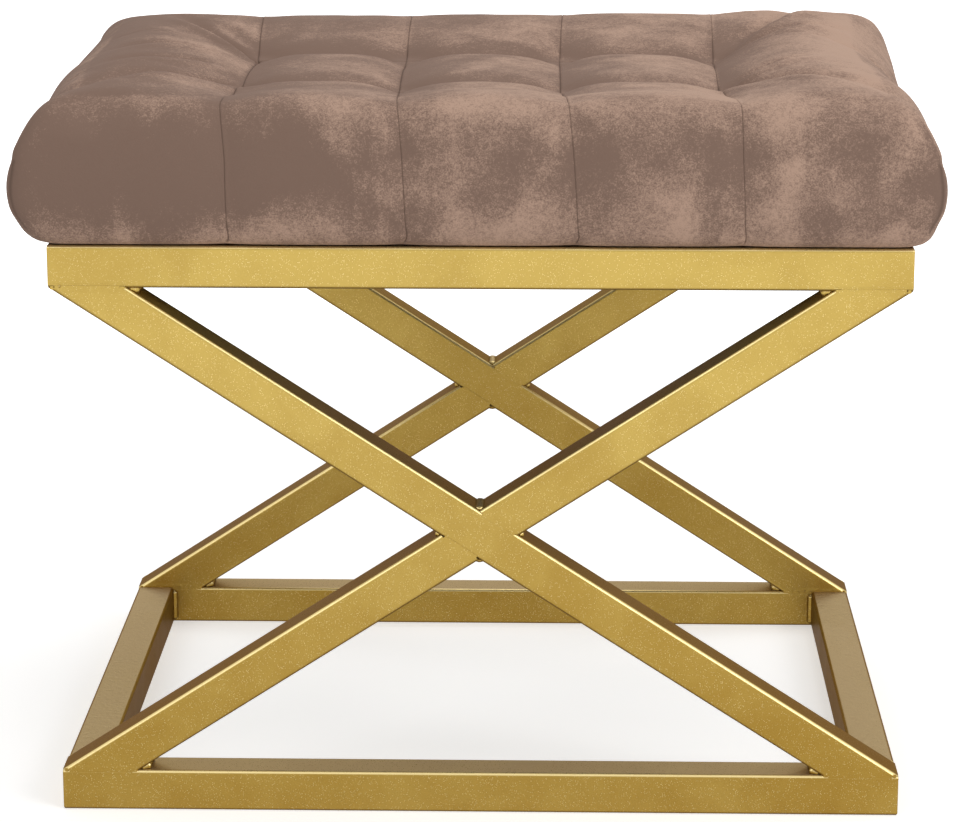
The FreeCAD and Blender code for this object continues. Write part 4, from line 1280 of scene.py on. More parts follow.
    def ring_xy(self, side: Side, spots: Array, out: float) -> Array:
        """Points of one side of a level ring.

        Args:
            side: which side.
            spots: pattern coordinates along it.
            out: outwards from the base's line.

        Returns:
            Rows of x and y.
        """
        wide = side in (Side.FRONT, Side.REAR)
        along, across = (self.half_x, self.half_y) if wide else (self.half_y, self.half_x)
        reach, fixed = (self.reach_x, 180.0) if wide else (self.reach_y, 120.0)
        radius = max(8.0, self.corner_radius + self.corner_growth * (out + self.lid_inset))
        share = np.clip((np.abs(spots) - fixed) / (reach - fixed), 0, 1)
        straight = along + out - radius - fixed
        distance = share * (straight + radius * math.pi / 4)
        angle = np.maximum(distance - straight, 0) / radius
        flat = np.where(np.abs(spots) <= fixed, np.abs(spots), fixed + np.minimum(distance, straight))
        run = np.sign(spots) * (flat + radius * np.sin(angle))
        rise = across + out - radius + radius * np.cos(angle)
        pairs = {Side.FRONT: (run, -rise), Side.REAR: (run, rise),
                 Side.RIGHT: (rise, run), Side.LEFT: (-rise, run)}
        return np.stack(pairs[side], axis=1)

    def ring(self, out: float) -> Array:
        """Whole level ring, counter-clockwise from the front left corner."""
        return np.concatenate([self.ring_xy(side, spots, out) for side, spots in self.walk()])

    def walk(self) -> list[tuple[Side, Array]]:
        """Each side and the pattern coordinates of its columns, in the order of a ring."""
        lines = (self.lines_x, self.lines_y, self.lines_x[::-1], self.lines_y[::-1])
        return [(side, spots[:-1]) for side, spots in zip(Side, lines)]

    def column_places(self) -> tuple[Array, Array]:
        """Side and pattern coordinate of each column of the rings."""
        sides = np.concatenate([np.full(len(spots), side.value) for side, spots in self.walk()])
        return sides, np.concatenate([spots for _, spots in self.walk()])

    def plain(self) -> SoftGrid:
        """The form with no seams: a flat top that rounds over into swelling sides."""
        xs, ys = np.meshgrid(self.lines_x, self.lines_y, indexing="ij")
        lid = self.ring(-self.lid_inset)
        nx, ny = len(self.lines_x), len(self.lines_y)
        front, right = lid[:nx], lid[nx - 1:nx + ny - 1]
        rear = lid[nx + ny - 2:2 * nx + ny - 2][::-1]
        left = np.concatenate((lid[2 * nx + ny - 3:], lid[:1]))[::-1]
        near = np.exp(-(ys + self.reach_y) / 22.0)[..., None]
        far = np.exp((ys - self.reach_y) / 22.0)[..., None]
        west = np.exp(-(xs + self.reach_x) / 22.0)[..., None]
        east = np.exp((xs - self.reach_x) / 22.0)[..., None]
        flat = np.stack((xs, ys), axis=-1)
        flat += near * (front - flat[:, 0])[:, None] + far * (rear - flat[:, -1])[:, None]
        flat += west * (left - flat[0])[None] + east * (right - flat[-1])[None]
        top = np.concatenate((flat, np.full((nx, ny, 1), self.ring_z[0])), axis=2)
        top[:, 0, :2], top[:, -1, :2], top[0, :, :2], top[-1, :, :2] = front, rear, left, right
        edge = np.minimum(self.reach_x - np.abs(xs), self.reach_y - np.abs(ys))
        top[..., 2] += (self.crest - self.ring_z[0]) * (1 - np.exp(-edge / 20.0))
        rings = np.stack([np.concatenate((self.ring(out), np.full((len(lid), 1), z)), axis=1)
                          for out, z in zip(self.ring_out[1:], self.ring_z[1:])])
        return SoftGrid(self.filled_out(top), self.filled_out(rings))

    def filled_out(self, points: Array) -> Array:
        """Points with the fullness of the sides and the rise of the crest from rear to front."""
        made = points.copy()
        x, y, z = points[..., 0], points[..., 1], points[..., 2]
        side = np.where(x < 0, np.interp(y, self.full_y, self.full_left),
                        np.interp(y, self.full_y, self.full_right))
        reach = ease((np.abs(x) - 165) / 75)
        behind = ease((y + 170) / 80)
        share = (np.interp(z, self.full_z, self.full_front) * (1 - behind)
                 + np.interp(z, self.full_z, self.full_rear) * behind)
        made[..., 0] += np.sign(x) * side * reach * share
        crest = smooth_through(np.array(self.crest_y), np.array(self.crest_z), np.clip(y, -214, 214))
        level = 0.85 * ease((np.abs(x) - 168) / 60) * ease((y + 150) / 60)
        crest = crest + (self.crest - crest) * level + self.crest_tilt * x * ease((y - 60) / 100)
        made[..., 2] += (crest - self.crest) * ease((z - 392) / 40)
        return made

    def normals(self, grid: SoftGrid) -> SoftGrid:
        """Outward unit vectors of the plain form."""
        top = np.zeros_like(grid.top)
        top[..., 2] = 1.0
        rings = np.zeros_like(grid.rings)
        step_out, step_z = np.gradient(self.ring_out), np.gradient(self.ring_z)
        length = np.hypot(step_out, step_z)
        level, rise = (-step_z / length)[1:], (step_out / length)[1:]
        around = np.roll(grid.rings, -1, axis=1) - np.roll(grid.rings, 1, axis=1)
        outward = np.stack((around[..., 1], -around[..., 0]), axis=-1)
        outward /= np.linalg.norm(outward, axis=-1, keepdims=True)
        rings[..., :2] = outward * level[:, None, None]
        rings[..., 2] = rise[:, None]
        return SoftGrid(top, rings)

    def border(self, values: Array) -> Array:
        """Values of the top's edge points, in the order of the rings' columns."""
        return np.concatenate((values[:-1, 0], values[-1, :-1], values[1:, -1][::-1], values[0, 1:][::-1]))

    def seam_depths(self, spread: float = 1.0) -> tuple[Array, Array]:
        """How deep the tufting pulls the top and the sides in.

        Args:
            spread: width of the valleys, as a share.

        Returns:
            Depths of the top's points and of the rings' points.
        """
        xs, ys = np.meshgrid(self.lines_x, self.lines_y, indexing="ij")
        to_long = self.to_seams(xs)
        away = np.abs(ys) - self.tuft_y
        tuft, edge, middle, end = (np.where(ys < 0, *pair) for pair in
                                   (self.tuft_depth, self.edge_depth, self.arc_depth, self.end_depth))
        outer = edge + (tuft - edge) * np.exp(-np.maximum(away, 0) / 28.0)
        inner = self.bridge_depth + (tuft - self.bridge_depth) * np.exp(np.minimum(away, 0) / 24.0)
        long_depth = np.where(away > 0, outer, inner)
        long_part = long_depth * np.exp(-(to_long / (self.seam_width * spread)) ** 1.25)
        cell = 2 * self.seam_x
        from_middle = np.abs((np.abs(xs) + self.seam_x) % cell - self.seam_x) / self.seam_x
        arc = middle + (tuft - middle) * from_middle ** 2
        past = np.maximum(np.abs(xs) - self.tuft_x, 0)
        near = np.exp(-past / self.fade)
        cross = np.where(past > 0, tuft * near + end * (1 - near) * np.exp(-past / 60), arc)
        width = self.cross_width * spread * (1 + past / 60.0)
        cross_part = cross * np.exp(-(np.abs(away) / width) ** 1.25)
        top = np.minimum((long_part ** 3 + cross_part ** 3) ** (1 / 3), np.where(ys < 0, *self.tuft_floor))
        sides, spots = self.column_places()
        to_seam = self.to_seams(spots)
        share = np.arange(1, len(self.ring_out)) / self.side_rows
        fall = np.clip(1.15 - 0.75 * share, 0, 1) * np.clip((1 - share) * 9, 0, 1)
        deep = np.select([sides == Side.FRONT.value, sides == Side.REAR.value], self.edge_depth, 0.0)
        rings = fall[:, None] * (deep * np.exp(-(to_seam / (11.0 * spread)) ** 1.15))[None]
        tuck = self.tuck_depth * np.exp(-(self.to_corner() / 5.0) ** 1.3)
        held = ease((401 - self.ring_z[1:]) / 12) * ease((self.ring_z[1:] - 347) / 8)
        rings += held[:, None] * tuck[None]
        return top, rings

    def to_corner(self) -> Array:
        """Distance of each ring column from the nearest corner."""
        sides, spots = self.column_places()
        wide = (sides == Side.FRONT.value) | (sides == Side.REAR.value)
        return np.where(wide, self.reach_x, self.reach_y) - np.abs(spots)

    def seam_marks(self) -> tuple[Array, Array]:
        """1 where a point lies on a seam, otherwise 0, for the top and for the rings."""
        xs, ys = np.meshgrid(self.lines_x, self.lines_y, indexing="ij")
        on_long = self.to_seams(xs) < 0.1
        on_cross = (np.abs(np.abs(ys) - self.tuft_y) < 0.1) & (np.abs(xs) <= self.tuft_x + 0.1)
        sides, spots = self.column_places()
        faces = (sides == Side.FRONT.value) | (sides == Side.REAR.value)
        on_face = (self.to_seams(spots) < 0.1) & faces
        rows = np.arange(1, len(self.ring_out)) < self.side_rows - 1
        marks = (rows[:, None] & on_face[None]).astype(float)
        low = (self.ring_z[1:] < 398) & (self.ring_z[1:] > 350)
        tucks = 0.9 * (low[:, None] & (self.to_corner() < 0.1)[None])
        return (on_long | on_cross).astype(float), np.maximum(marks, tucks)

    def wandered(self, grid: SoftGrid) -> SoftGrid:
        """Points moved sideways with the hand-sewn seams, and the whole seat with them."""
        seams = np.array((-230.0, *self.seams, 230.0))

        def shift(x: Array, way: Array) -> Array:
            """Sideways move at x and at a place along the seams."""
            found = [np.interp(way, self.wander_y, row) for row in self.wander_x]
            table = np.stack([np.zeros_like(way), *found, np.zeros_like(way)])
            spot = np.clip(np.searchsorted(seams, x) - 1, 0, len(seams) - 2)
            share = np.clip((x - seams[spot]) / (seams[spot + 1] - seams[spot]), 0, 1)
            low = np.take_along_axis(table, spot[None], 0)[0]
            high = np.take_along_axis(table, (spot + 1)[None], 0)[0]
            return low + (high - low) * share

        moved = grid.copy()
        moved.top[..., 0] += shift(grid.top[..., 0], grid.top[..., 1])
        drop = np.clip((self.crest - grid.rings[..., 2]) * 1.15, 0, 100)
        near_face = np.clip((np.abs(grid.rings[..., 1]) - 120) / 60, 0, 1)
        way = grid.rings[..., 1] + np.sign(grid.rings[..., 1]) * drop * near_face
        under = np.clip((grid.rings[..., 2] - self.base) / 4, 0, 1)
        moved.rings[..., 0] += shift(grid.rings[..., 0], way) * np.where(under > 0, 0.4 + 0.6 * under, 0)
        rise = np.clip((moved.rings[..., 2] - self.base) / 12, 0, 1)
        moved.top[..., 0] += self.shift_x
        moved.rings[..., 0] += self.shift_x * rise
        return moved

    def faces(self) -> list[tuple[int, ...]]:
        """Faces of the grid's points, in the order of flat()."""
        nx, ny = len(self.lines_x), len(self.lines_y)
        number = np.arange(nx * ny).reshape(nx, ny)
        return self.skirted(number, len(self.ring_out) - 1)

    def skirted(self, number: Array, rows: int) -> list[tuple[int, ...]]:
        """Faces of a top and of the rings below its border.

        Args:
            number: point numbers of the top.
            rows: rings, numbered on from the top.

        Returns:
            The faces.
        """
        quads = sheet_quads(number)
        upper = self.border(number)
        for row in range(rows):
            lower = number.size + row * len(upper) + np.arange(len(upper))
            quads += band(upper, lower, True)
            upper = lower
        return quads

    @staticmethod
    def flat(grid: SoftGrid) -> Array:
        """All points in one array."""
        return np.concatenate((grid.top.reshape(-1, 3), grid.rings.reshape(-1, 3)))

    def unflat(self, points: Array) -> SoftGrid:
        """Grid from one array."""
        count = len(self.lines_x) * len(self.lines_y)
        top = points[:count].reshape(len(self.lines_x), len(self.lines_y), 3)
        return SoftGrid(top, points[count:].reshape(len(self.ring_out) - 1, -1, 3))


def ease(share: Array) -> Array:
    """Eased step: 0 up to 0, 1 from 1 on."""
    held = np.clip(share, 0, 1)
    return held * held * (3 - 2 * held)


def smooth_through(spots: Array, values: Array, at: Array) -> Array:
    """Smooth curve through values.

    Args:
        spots: rising places of the values.
        values: the values.
        at: places to find.

    Returns:
        The values there.
    """
    slopes = np.gradient(values, spots)
    index = np.clip(np.searchsorted(spots, at, side="right") - 1, 0, len(spots) - 2)
    width = spots[index + 1] - spots[index]
    t = (at - spots[index]) / width
    first, second = values[index], values[index + 1]
    out, into = slopes[index] * width, slopes[index + 1] * width
    return ((2 * t ** 3 - 3 * t ** 2 + 1) * first + (t ** 3 - 2 * t ** 2 + t) * out
            + (3 * t ** 2 - 2 * t ** 3) * second + (t ** 3 - t ** 2) * into)


@dataclass
class ClothPress:
    """Blows a sewn cover up with a short cloth simulation, held at its seams."""
    frames: int = 20
    pressure: float = 4.5
    cap: float = 9.0

    def blow(self, points: Array, faces: Sequence[Sequence[int]], held: Array) -> Array:
        """Run the simulation.

        Args:
            points: the cover's points, in millimetres.
            faces: its faces.
            held: 1 where a point can't move.

        Returns:
            The points after it, in millimetres.
        """
        piece = mesh_object("cover_in_press", points, faces)
        group = piece.vertex_groups.new(name="held")
        for weight in (0.25, 0.6, 1.0):
            chosen = np.nonzero(np.isclose(held, weight, atol=0.15))[0]
            group.add([int(index) for index in chosen], weight, "REPLACE")
        cloth = piece.modifiers.new("press", "CLOTH")
        settings = cloth.settings
        settings.quality = 6
        settings.mass = 0.3
        settings.tension_stiffness = settings.compression_stiffness = 12.0
        settings.shear_stiffness = 6.0
        settings.bending_stiffness = 0.4
        settings.air_damping = 1.0
        settings.vertex_group_mass = "held"
        settings.use_pressure = True
        settings.uniform_pressure_force = self.pressure
        settings.effector_weights.gravity = 0.0
        cloth.collision_settings.use_collision = False
        cloth.point_cache.frame_start, cloth.point_cache.frame_end = 1, self.frames
        for number in range(1, self.frames + 1):
            bpy.context.scene.frame_set(number)
        graph = bpy.context.evaluated_depsgraph_get()
        found = piece.evaluated_get(graph).data
        after = np.empty(len(points) * 3, dtype=np.float32)
        found.vertices.foreach_get("co", after)
        bpy.context.scene.frame_set(1)
        mesh = piece.data
        bpy.data.objects.remove(piece)
        bpy.data.meshes.remove(mesh)
        moved = after.reshape(-1, 3).astype(float) / MM - points
        length = np.linalg.norm(moved, axis=1, keepdims=True)
        moved *= np.minimum(1.0, self.cap / np.maximum(length, 1e-9))
        log.info("cloth moved %.1f mm on average, %.1f mm at most", float(length.mean()), float(length.max()))
        return points + moved


@dataclass
class Fold:
    """A soft fold on the top, from one place to another, in millimetres."""
    start: tuple[float, float]
    end: tuple[float, float]
    depth: float
    width: float
    bow: float = 0.0
    ridge: float = 1.0

    def lift(self, x: Array, y: Array) -> Array:
        """How far the fold moves points: down along it, and up in a low ridge on one side.

        Args:
            x: places along X.
            y: places along Y.

        Returns:
            Heights to add.
        """
        start, end = np.array(self.start), np.array(self.end)
        way = end - start
        length = float(np.linalg.norm(way))
        way = way / length
        side = np.array((-way[1], way[0]))
        along = ((x - start[0]) * way[0] + (y - start[1]) * way[1]) / length
        off = (x - start[0]) * side[0] + (y - start[1]) * side[1]
        off = self.ridge * (off - self.bow * np.sin(math.pi * np.clip(along, 0, 1)))
        body = np.clip(along * 7 + 0.6, 0, 1) * np.clip((1.12 - along) * 2.2, 0, 1) * (along > -0.1)
        spread = self.width * (0.55 + 0.8 * np.clip(along, 0, 1))
        valley = np.exp(-(off / spread) ** 2)
        ridge = 0.55 * np.exp(-((off - 2.1 * spread) / (1.3 * spread)) ** 2)
        return self.depth * body * (ridge - valley)


@dataclass
class Seat:
    """Velvet cover over wadding and foam on a board, with a dust cloth beneath."""
    form: SeatForm = field(default_factory=SeatForm)
    press: ClothPress = field(default_factory=ClothPress)
    cover_thickness: float = 1.2
    wadding: tuple[float, float] = (3.2, 7.0)
    foam_inset: float = 7.6
    board_top: float = 358.6
    board_out: float = -7.7
    # Painted light and shade against z, and strokes of the pile over it on the front: x, z, reach and
    # strength
    painted_light_z: Sequence[float] = (345.0, 352.0, 364.0, 380.0, 402.0, 415.0, 426.0, 434.0)
    painted_light_share: Sequence[float] = (0.12, 0.16, 0.05, -0.1, -0.12, 0.02, 0.16, 0.12)
    strokes: Sequence[tuple[float, float, float, float]] = (
        (-212.0, 388.0, 46.0, -0.22), (-120.0, 392.0, 34.0, -0.2), (-104.0, 357.0, 30.0, 0.16),
        (-60.0, 392.0, 20.0, -0.16), (-28.0, 378.0, 12.0, 0.2), (8.0, 404.0, 40.0, -0.1),
        (30.0, 366.0, 24.0, 0.12), (92.0, 404.0, 30.0, -0.1), (112.0, 366.0, 34.0, 0.14),
        (196.0, 384.0, 44.0, 0.16), (180.0, 404.0, 18.0, -0.1), (262.0, 384.0, 14.0, -0.3))
    folds: Sequence[Fold] = (
        Fold((-151, 64), (-206, 146), 6.2, 5.0, 5.0), Fold((-152, -68), (-240, -116), 6.0, 12.0, 5.0),
        Fold((-172, -26), (-238, -56), 3.6, 6.5, 3.0), Fold((-172, 22), (-240, 2), 2.8, 6.5),
        Fold((149, 72), (206, 180), 5.0, 5.0, -4.0, -1.0), Fold((150, 68), (234, 110), 4.6, 5.5, 5.0, -1.0),
        Fold((147, -62), (196, -32), 4.6, 5.0, 3.0, -1.0),
        Fold((150, -70), (240, -122), 5.4, 11.0, -5.0, -1.0))

    def sewn_cover(self) -> tuple[SoftGrid, SoftGrid, Array]:
        """Cover as it goes into the press, its outward vectors and what holds it."""
        form = self.form
        plain = form.plain()
        normals = form.normals(plain)
        top_depth, ring_depth = form.seam_depths()
        marks_top, marks_rings = form.seam_marks()
        inset_top = form.swell * (1 - 0.2 * marks_top) * np.clip(1 - top_depth / 26, 0.2, 1)
        rows = np.arange(1, len(form.ring_out))
        free = np.clip((form.side_rows - 2 - rows) / 3, 0, 1)[:, None]
        inset_rings = form.swell * (1 - 0.35 * marks_rings) * free
        sewn = plain.blend(normals, -(top_depth + inset_top)[..., None],
                           -(ring_depth + inset_rings)[..., None])
        held_rings = np.maximum(marks_rings, (rows >= form.side_rows - 2)[:, None] * 1.0)
        held = np.concatenate((marks_top.ravel(), held_rings.ravel()))
        return form.wandered(sewn), normals, held

    def blown_cover(self) -> tuple[SoftGrid, SoftGrid]:
        """Cover after the press, and its outward vectors."""
        sewn, normals, held = self.sewn_cover()
        points = self.press.blow(self.form.flat(sewn), self.form.faces(), held)
        points[:, 2] = np.maximum(points[:, 2], self.form.base)
        return self.form.unflat(points), normals

    def folded(self, grid: SoftGrid) -> SoftGrid:
        """Cover with its folds at the ends, drawn from the last tufts to the corners."""
        made = grid.copy()
        x, y = grid.top[..., 0], grid.top[..., 1]
        end = np.clip((self.form.half_x - 14 - np.abs(x)) / 14, 0, 1)
        for fold in self.folds:
            made.top[..., 2] += fold.lift(x, y) * end
        ripple = (np.sin(x / 17.0 + np.sin(y / 23.0)) * np.sin(y / 19.0 + 1.3 + np.sin(x / 31.0))) * 0.45
        made.top[..., 2] += ripple * np.clip((430 - np.abs(made.top[..., 2] - 430)) / 430, 0, 1)
        return made

    def pile_strokes_and_painted_light(self, grid: SoftGrid) -> Array:
        """Crushed pile strokes together with painted light and shade: above 0 where it looks light.

        Args:
            grid: the cover's points.

        Returns:
            One number a point.
        """
        form = self.form
        top_depth, ring_depth = form.seam_depths(1.5)
        depth = np.concatenate((top_depth.ravel(), 2.0 * ring_depth.ravel()))
        points = form.flat(grid)
        x, y, z = points.T
        across = np.gradient(grid.top[..., 2], axis=0) / np.gradient(grid.top[..., 0], axis=0)
        back = np.gradient(grid.top[..., 2], axis=1) / np.gradient(grid.top[..., 1], axis=1)
        # Painted light: slopes that face right or towards the rear are lighter, and the top is lighter
        # towards the right.
        lean = np.clip(-0.65 * across - 0.5 * back, -0.4, 0.4) + 0.0007 * grid.top[..., 0]
        lean = np.concatenate((lean.ravel(), np.zeros(len(x) - lean.size)))
        # Painted light and shade by height, painted shade in the tufted hollows, and lighter towards the
        # right.
        pile_and_light = np.interp(z, self.painted_light_z, self.painted_light_share) - 0.018 * depth + lean + 0.0005 * x
        # Painted light and shade at the front corners: faces turned to the side lighter, their rounding
        # darker.
        turn = np.abs(form.flat(form.normals(grid))[:, 0]) * ease((430 - z) / 12) * ease((z - 352) / 10)
        corner = ease((turn - 0.8) / 0.1) - np.exp(-((turn - 0.66) / 0.1) ** 2)
        pile_and_light += 0.3 * corner * ease((-y - 120) / 40)
        face = ease((-y - 196) / 8)
        for side, height, reach, strength in self.strokes:
            away = np.hypot((x - side) / reach, (z - height) / (0.55 * reach))
            pile_and_light += strength * np.exp(-away ** 2) * face
        # Painted highlight: a lighter strip just left of each seam on the front.
        for seam in form.seams:
            beside = x - seam - form.shift_x + 5
            pile_and_light += 0.14 * np.exp(-(beside / 4.0) ** 2) * face
        return pile_and_light

    def crisp(self, piece: bpy.types.Object) -> None:
        """Draw the seams in as narrow grooves on the subdivided cover."""
        mesh = piece.data
        count = len(mesh.vertices)
        seam = np.empty(count, dtype=np.float32)
        mesh.attributes["seam"].data.foreach_get("value", seam)
        places = np.empty(count * 3, dtype=np.float32)
        mesh.vertices.foreach_get("co", places)
        ways = np.empty(count * 3, dtype=np.float32)
        mesh.vertices.foreach_get("normal", ways)
        places, ways = places.reshape(-1, 3), ways.reshape(-1, 3)
        groove = 1.0 * np.clip(seam, 0, 1) ** 2
        lip = 0.05 * np.sin(math.pi * np.clip(seam, 0, 1))
        pucker = 0.2 * np.sin(places[:, 0] * 610 + places[:, 1] * 590 + places[:, 2] * 700) * np.sqrt(
            np.clip(seam, 0, 1)) * (1 - np.clip(seam, 0, 1))
        places += ways * ((lip + pucker - groove) * MM)[:, None]
        mesh.vertices.foreach_set("co", places.ravel())
        mesh.update()

    def make_cover(self, grid: SoftGrid, wardrobe: Wardrobe) -> None:
        """Velvet cover, with thickness.

        Args:
            grid: its points.
            wardrobe: materials.
        """
        form, velvet = self.form, Velvet()
        piece = mesh_object("tufted_velvet_cover", form.flat(grid), form.faces())
        marks_top, marks_rings = form.seam_marks()
        marks = np.concatenate((marks_top.ravel(), marks_rings.ravel()))
        put_attribute(piece.data, "seam", marks)
        # Painted light and shade for the velvet's colour, with the pile's strokes.
        put_attribute(piece.data, "nap", self.pile_strokes_and_painted_light(grid))
        crease = piece.data.attributes.new("crease_edge", "FLOAT", "EDGE")
        ends = np.empty(len(piece.data.edges) * 2, dtype=np.int32)
        piece.data.edges.foreach_get("vertices", ends)
        both = marks[ends.reshape(-1, 2)].min(axis=1)
        crease.data.foreach_set("value", (both * 0.75).astype(np.float32))
        finer = piece.modifiers.new("finer", "SUBSURF")
        finer.levels = finer.render_levels = 1
        settle(piece)
        self.crisp(piece)
        wall = piece.modifiers.new("cloth", "SOLIDIFY")
        wall.thickness = self.cover_thickness * MM
        wall.offset = -1.0
        settle(piece)
        piece.data.materials.clear()
        wardrobe.hand_over(piece, velvet, "velvet_cover")

    def coarse(self, grid: SoftGrid, normals: SoftGrid, inset: float,
               rows: int) -> tuple[Array, list[Any], int]:
        """Every other point of the cover, moved in, with its faces.

        Args:
            grid: the cover's points.
            normals: its outward vectors.
            inset: how far in.
            rows: rings that are used.

        Returns:
            Points, faces, and how many of the last points are the lowest ring.
        """
        nx, ny = len(self.form.lines_x), len(self.form.lines_y)
        marks_top, marks_rings = self.form.seam_marks()
        keep_x = sorted({*range(0, nx, 2), nx - 1, *np.nonzero(marks_top[:, 0])[0]})
        keep_y = sorted({*range(0, ny, 2), ny - 1, *np.nonzero(marks_top[nx // 2])[0]})
        under = grid.copy()
        shifts = [(i, j) for i in range(-2, 3) for j in range(-2, 3)]
        under.top[..., 2] = np.min([np.roll(grid.top[..., 2], shift, (0, 1)) for shift in shifts], axis=0)
        moved = under.blend(normals, -(inset + 2.2 * marks_top)[..., None],
                            -(inset + 2.2 * marks_rings)[..., None])
        top = moved.top[np.ix_(keep_x, keep_y)]
        marks = np.zeros((nx, ny), bool)
        marks[np.ix_(keep_x, keep_y)] = True
        columns = np.nonzero(self.form.border(marks))[0]
        rings = moved.rings[1:rows:2][:, columns]
        number = np.arange(len(keep_x) * len(keep_y)).reshape(len(keep_x), len(keep_y))
        faces = self.form.skirted(number, len(rings))
        return np.concatenate((top.reshape(-1, 3), rings.reshape(-1, 3))), faces, len(columns)

    def make_wadding(self, grid: SoftGrid, normals: SoftGrid, wardrobe: Wardrobe) -> None:
        """Wadding over the foam and round the board, as a closed shell."""
        rows = self.form.side_rows - 2
        outer, faces, ring = self.coarse(grid, normals, self.wadding[0], rows)
        inner, _, _ = self.coarse(grid, normals, self.wadding[1], rows)
        low = inner[:, 2] < self.board_top + 1
        half_x, half_y = self.form.half_x + self.board_out, self.form.half_y + self.board_out
        near_x = low & (np.abs(inner[:, 0]) > np.abs(inner[:, 1]) + (half_x - half_y) - 12)
        near_y = low & (np.abs(inner[:, 1]) > np.abs(inner[:, 0]) - (half_x - half_y) - 12)
        inner[near_x, 0] = np.sign(inner[near_x, 0]) * np.maximum(np.abs(inner[near_x, 0]), half_x)
        inner[near_y, 1] = np.sign(inner[near_y, 1]) * np.maximum(np.abs(inner[near_y, 1]), half_y)
        total = len(outer)
        faces += [tuple(total + index for index in reversed(face)) for face in faces]
        edge = total - ring + np.arange(ring)
        faces += band(edge, total + edge, True)
        piece = mesh_object("fibre_wadding", np.concatenate((outer, inner)), faces)
        finish = SoftFill("fibre_wadding", "wadding", 0.95, srgb(240, 239, 235), 900.0, (90.0, 700.0, 500.0))
        wardrobe.hand_over(piece, finish, "wadding_layer")

    def make_foam(self, grid: SoftGrid, normals: SoftGrid, wardrobe: Wardrobe) -> None:
        """Foam block on the board, closed below."""
        rows = int(np.nonzero(self.form.ring_z[1:] > self.board_top + 2)[0][-1]) + 1
        points, faces, ring = self.coarse(grid, normals, self.foam_inset, rows)
        points[-ring:, 2] = self.board_top
        faces.append(tuple(range(len(points) - ring, len(points))))
        piece = mesh_object("seat_foam_block", points, faces)
        wardrobe.hand_over(piece, SoftFill(), "seat_foam")

    def make_dust_cloth(self, wardrobe: Wardrobe) -> None:
        """Dust cloth: stapled at its edges, with a turned hem and a slight sag."""
        half_x, half_y, low = 237.5, 185.0, 345.05
        xs = np.linspace(-half_x, half_x, 96)
        ys = np.linspace(-half_y, half_y, 75)
        grid_x, grid_y = np.meshgrid(xs, ys, indexing="ij")
        inside = np.clip((178 - np.abs(grid_x)) / 60, 0, 1) * np.clip((138 - np.abs(grid_y)) / 50, 0, 1)
        inside = inside * inside * (3 - 2 * inside)
        wave = np.sin(grid_x / 37 + np.sin(grid_y / 41)) * np.sin(grid_y / 29 + 0.7)
        z = low - inside * (2.4 + 0.9 * wave)
        z += 0.12 * np.sin(grid_x / 6.1) * np.clip((np.abs(grid_y) - 150) / 20, 0, 1) * (inside <= 0)
        z = np.clip(z, 341.0, low + 0.1)
        points = np.stack((grid_x, grid_y, z), axis=-1).reshape(-1, 3)
        number = np.arange(grid_x.size).reshape(grid_x.shape)
        piece = mesh_object("stapled_dust_cloth", points, sheet_quads(number))
        wall = piece.modifiers.new("cloth", "SOLIDIFY")
        wall.thickness, wall.offset = 0.25 * MM, 1.0
        settle(piece)
        wardrobe.hand_over(piece, DustCloth(), "dust_cloth")

    def build(self, wardrobe: Wardrobe) -> None:
        """Make the seat's soft pieces.

        Args:
            wardrobe: materials.
        """
        blown, normals = self.blown_cover()
        grid = self.folded(blown)
        self.make_cover(grid, wardrobe)
        self.make_wadding(grid, normals, wardrobe)
        self.make_foam(grid, normals, wardrobe)
        self.make_dust_cloth(wardrobe)


# Studio

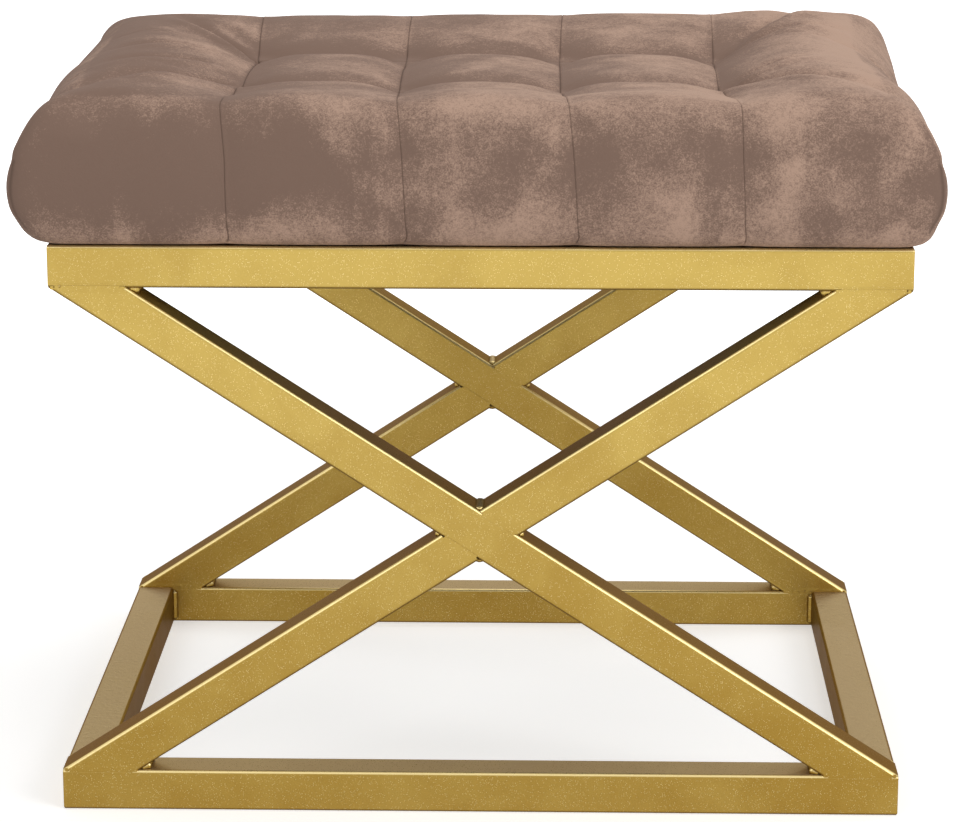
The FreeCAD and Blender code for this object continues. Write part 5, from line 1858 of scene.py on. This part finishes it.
@dataclass
class Studio:
    """Camera at the photograph's place, soft lights, pale floor and white surroundings."""
    camera_place: tuple[float, float, float] = (0.045, -2.110, 0.723)
    camera_down: float = 13.96
    camera_turn: float = 1.34
    lens: float = 126.87
    daylight: float = 0.5
    floor_reach: tuple[float, float] = (0.75, 1.5)
    lamps: Sequence[tuple[tuple[float, float, float], tuple[float, float, float], float, float]] = (
        ((-1.5, -1.9, 1.7), (0.0, 0.0, 0.25), 1.3, 10.0), ((1.7, -1.6, 1.5), (0.0, 0.0, 0.25), 1.1, 19.0),
        ((0.3, 0.6, 2.3), (0.0, 0.0, 0.35), 1.4, 12.0))

    def make_camera(self) -> None:
        """Camera that sees what the photograph shows."""
        camera = placed("camera", bpy.data.cameras.new("camera"))
        camera.data.lens, camera.data.sensor_width, camera.data.sensor_fit = self.lens, 36.0, "HORIZONTAL"
        camera.location = self.camera_place
        camera.rotation_euler = (math.radians(90 - self.camera_down), 0.0, math.radians(self.camera_turn))
        bpy.context.scene.camera = camera

    def make_lamps(self) -> None:
        """Large soft lamps that face the stool."""
        for index, (place, aim, side, power) in enumerate(self.lamps):
            data = bpy.data.lights.new(f"soft_lamp_{index}", "AREA")
            data.shape, data.size, data.energy = "SQUARE", side, power
            lamp = placed(data.name, data)
            lamp.location = place
            way = Vector(aim) - Vector(place)
            lamp.rotation_euler = way.to_track_quat("-Z", "Y").to_euler()

    @staticmethod
    def seen(tree: Tree) -> bpy.types.NodeSocket:
        """1 for rays that see the surroundings: from the camera, off gloss or through glass."""
        path = tree.add("ShaderNodeLightPath").outputs
        first = tree.math("MAXIMUM", path["Is Camera Ray"], path["Is Glossy Ray"])
        return tree.math("MAXIMUM", first, path["Is Transmission Ray"])

    def make_world(self) -> None:
        """White surroundings, and a plainer level of light from all round."""
        world = bpy.data.worlds.new("white_studio")
        world.use_nodes = True
        bpy.context.scene.world = world
        tree = Tree(world.node_tree)
        back = next(node for node in tree.tree.nodes if node.type == "BACKGROUND")
        back.inputs["Color"].default_value = (1.0, 1.0, 1.0, 1.0)
        tree.feed(back.inputs["Strength"], tree.span(self.seen(tree), 0.0, 1.0, self.daylight, 1.0, False))

    def make_floor(self) -> None:
        """Wide pale floor that keeps the stool's shadow."""
        floor = mesh_object("floor", [(-9000, -9000, 0), (9000, -9000, 0), (9000, 9000, 0), (-9000, 9000, 0)],
                            [(0, 1, 2, 3)], False)
        material = bpy.data.materials.new("pale_floor")
        material.use_nodes = True
        tree = Tree(material.node_tree)
        shader = next(node for node in tree.tree.nodes if node.type == "BSDF_PRINCIPLED")
        shader.inputs["Base Color"].default_value = (0.86, 0.86, 0.86, 1.0)
        shader.inputs["Roughness"].default_value = 0.9
        shader.inputs["Specular IOR Level"].default_value = 0.0
        shader.inputs["Emission Color"].default_value = (1.0, 1.0, 1.0, 1.0)
        place = tree.add("ShaderNodeTexCoord").outputs["Object"]
        away = tree.vector_math("LENGTH", place).outputs["Value"]
        far = tree.span(away, *self.floor_reach)
        lift = tree.times(self.seen(tree), tree.math("MULTIPLY_ADD", far, 0.55, 0.5))
        tree.feed(shader.inputs["Emission Strength"], lift)
        floor.data.materials.append(material)

    def build(self) -> None:
        """Set the whole stage up."""
        self.make_camera()
        self.make_lamps()
        self.make_world()
        self.make_floor()
        bpy.context.scene.view_settings.view_transform = "Standard"


def main() -> None:
    """Build the stool and its stage."""
    Studio().build()
    wardrobe = Wardrobe()
    workshop = NodeWorkshop()
    WeldedFrame().build(workshop, wardrobe)
    SeatFixings().build(workshop, wardrobe)
    Seat().build(wardrobe)


if __name__ == "__main__":
    main()
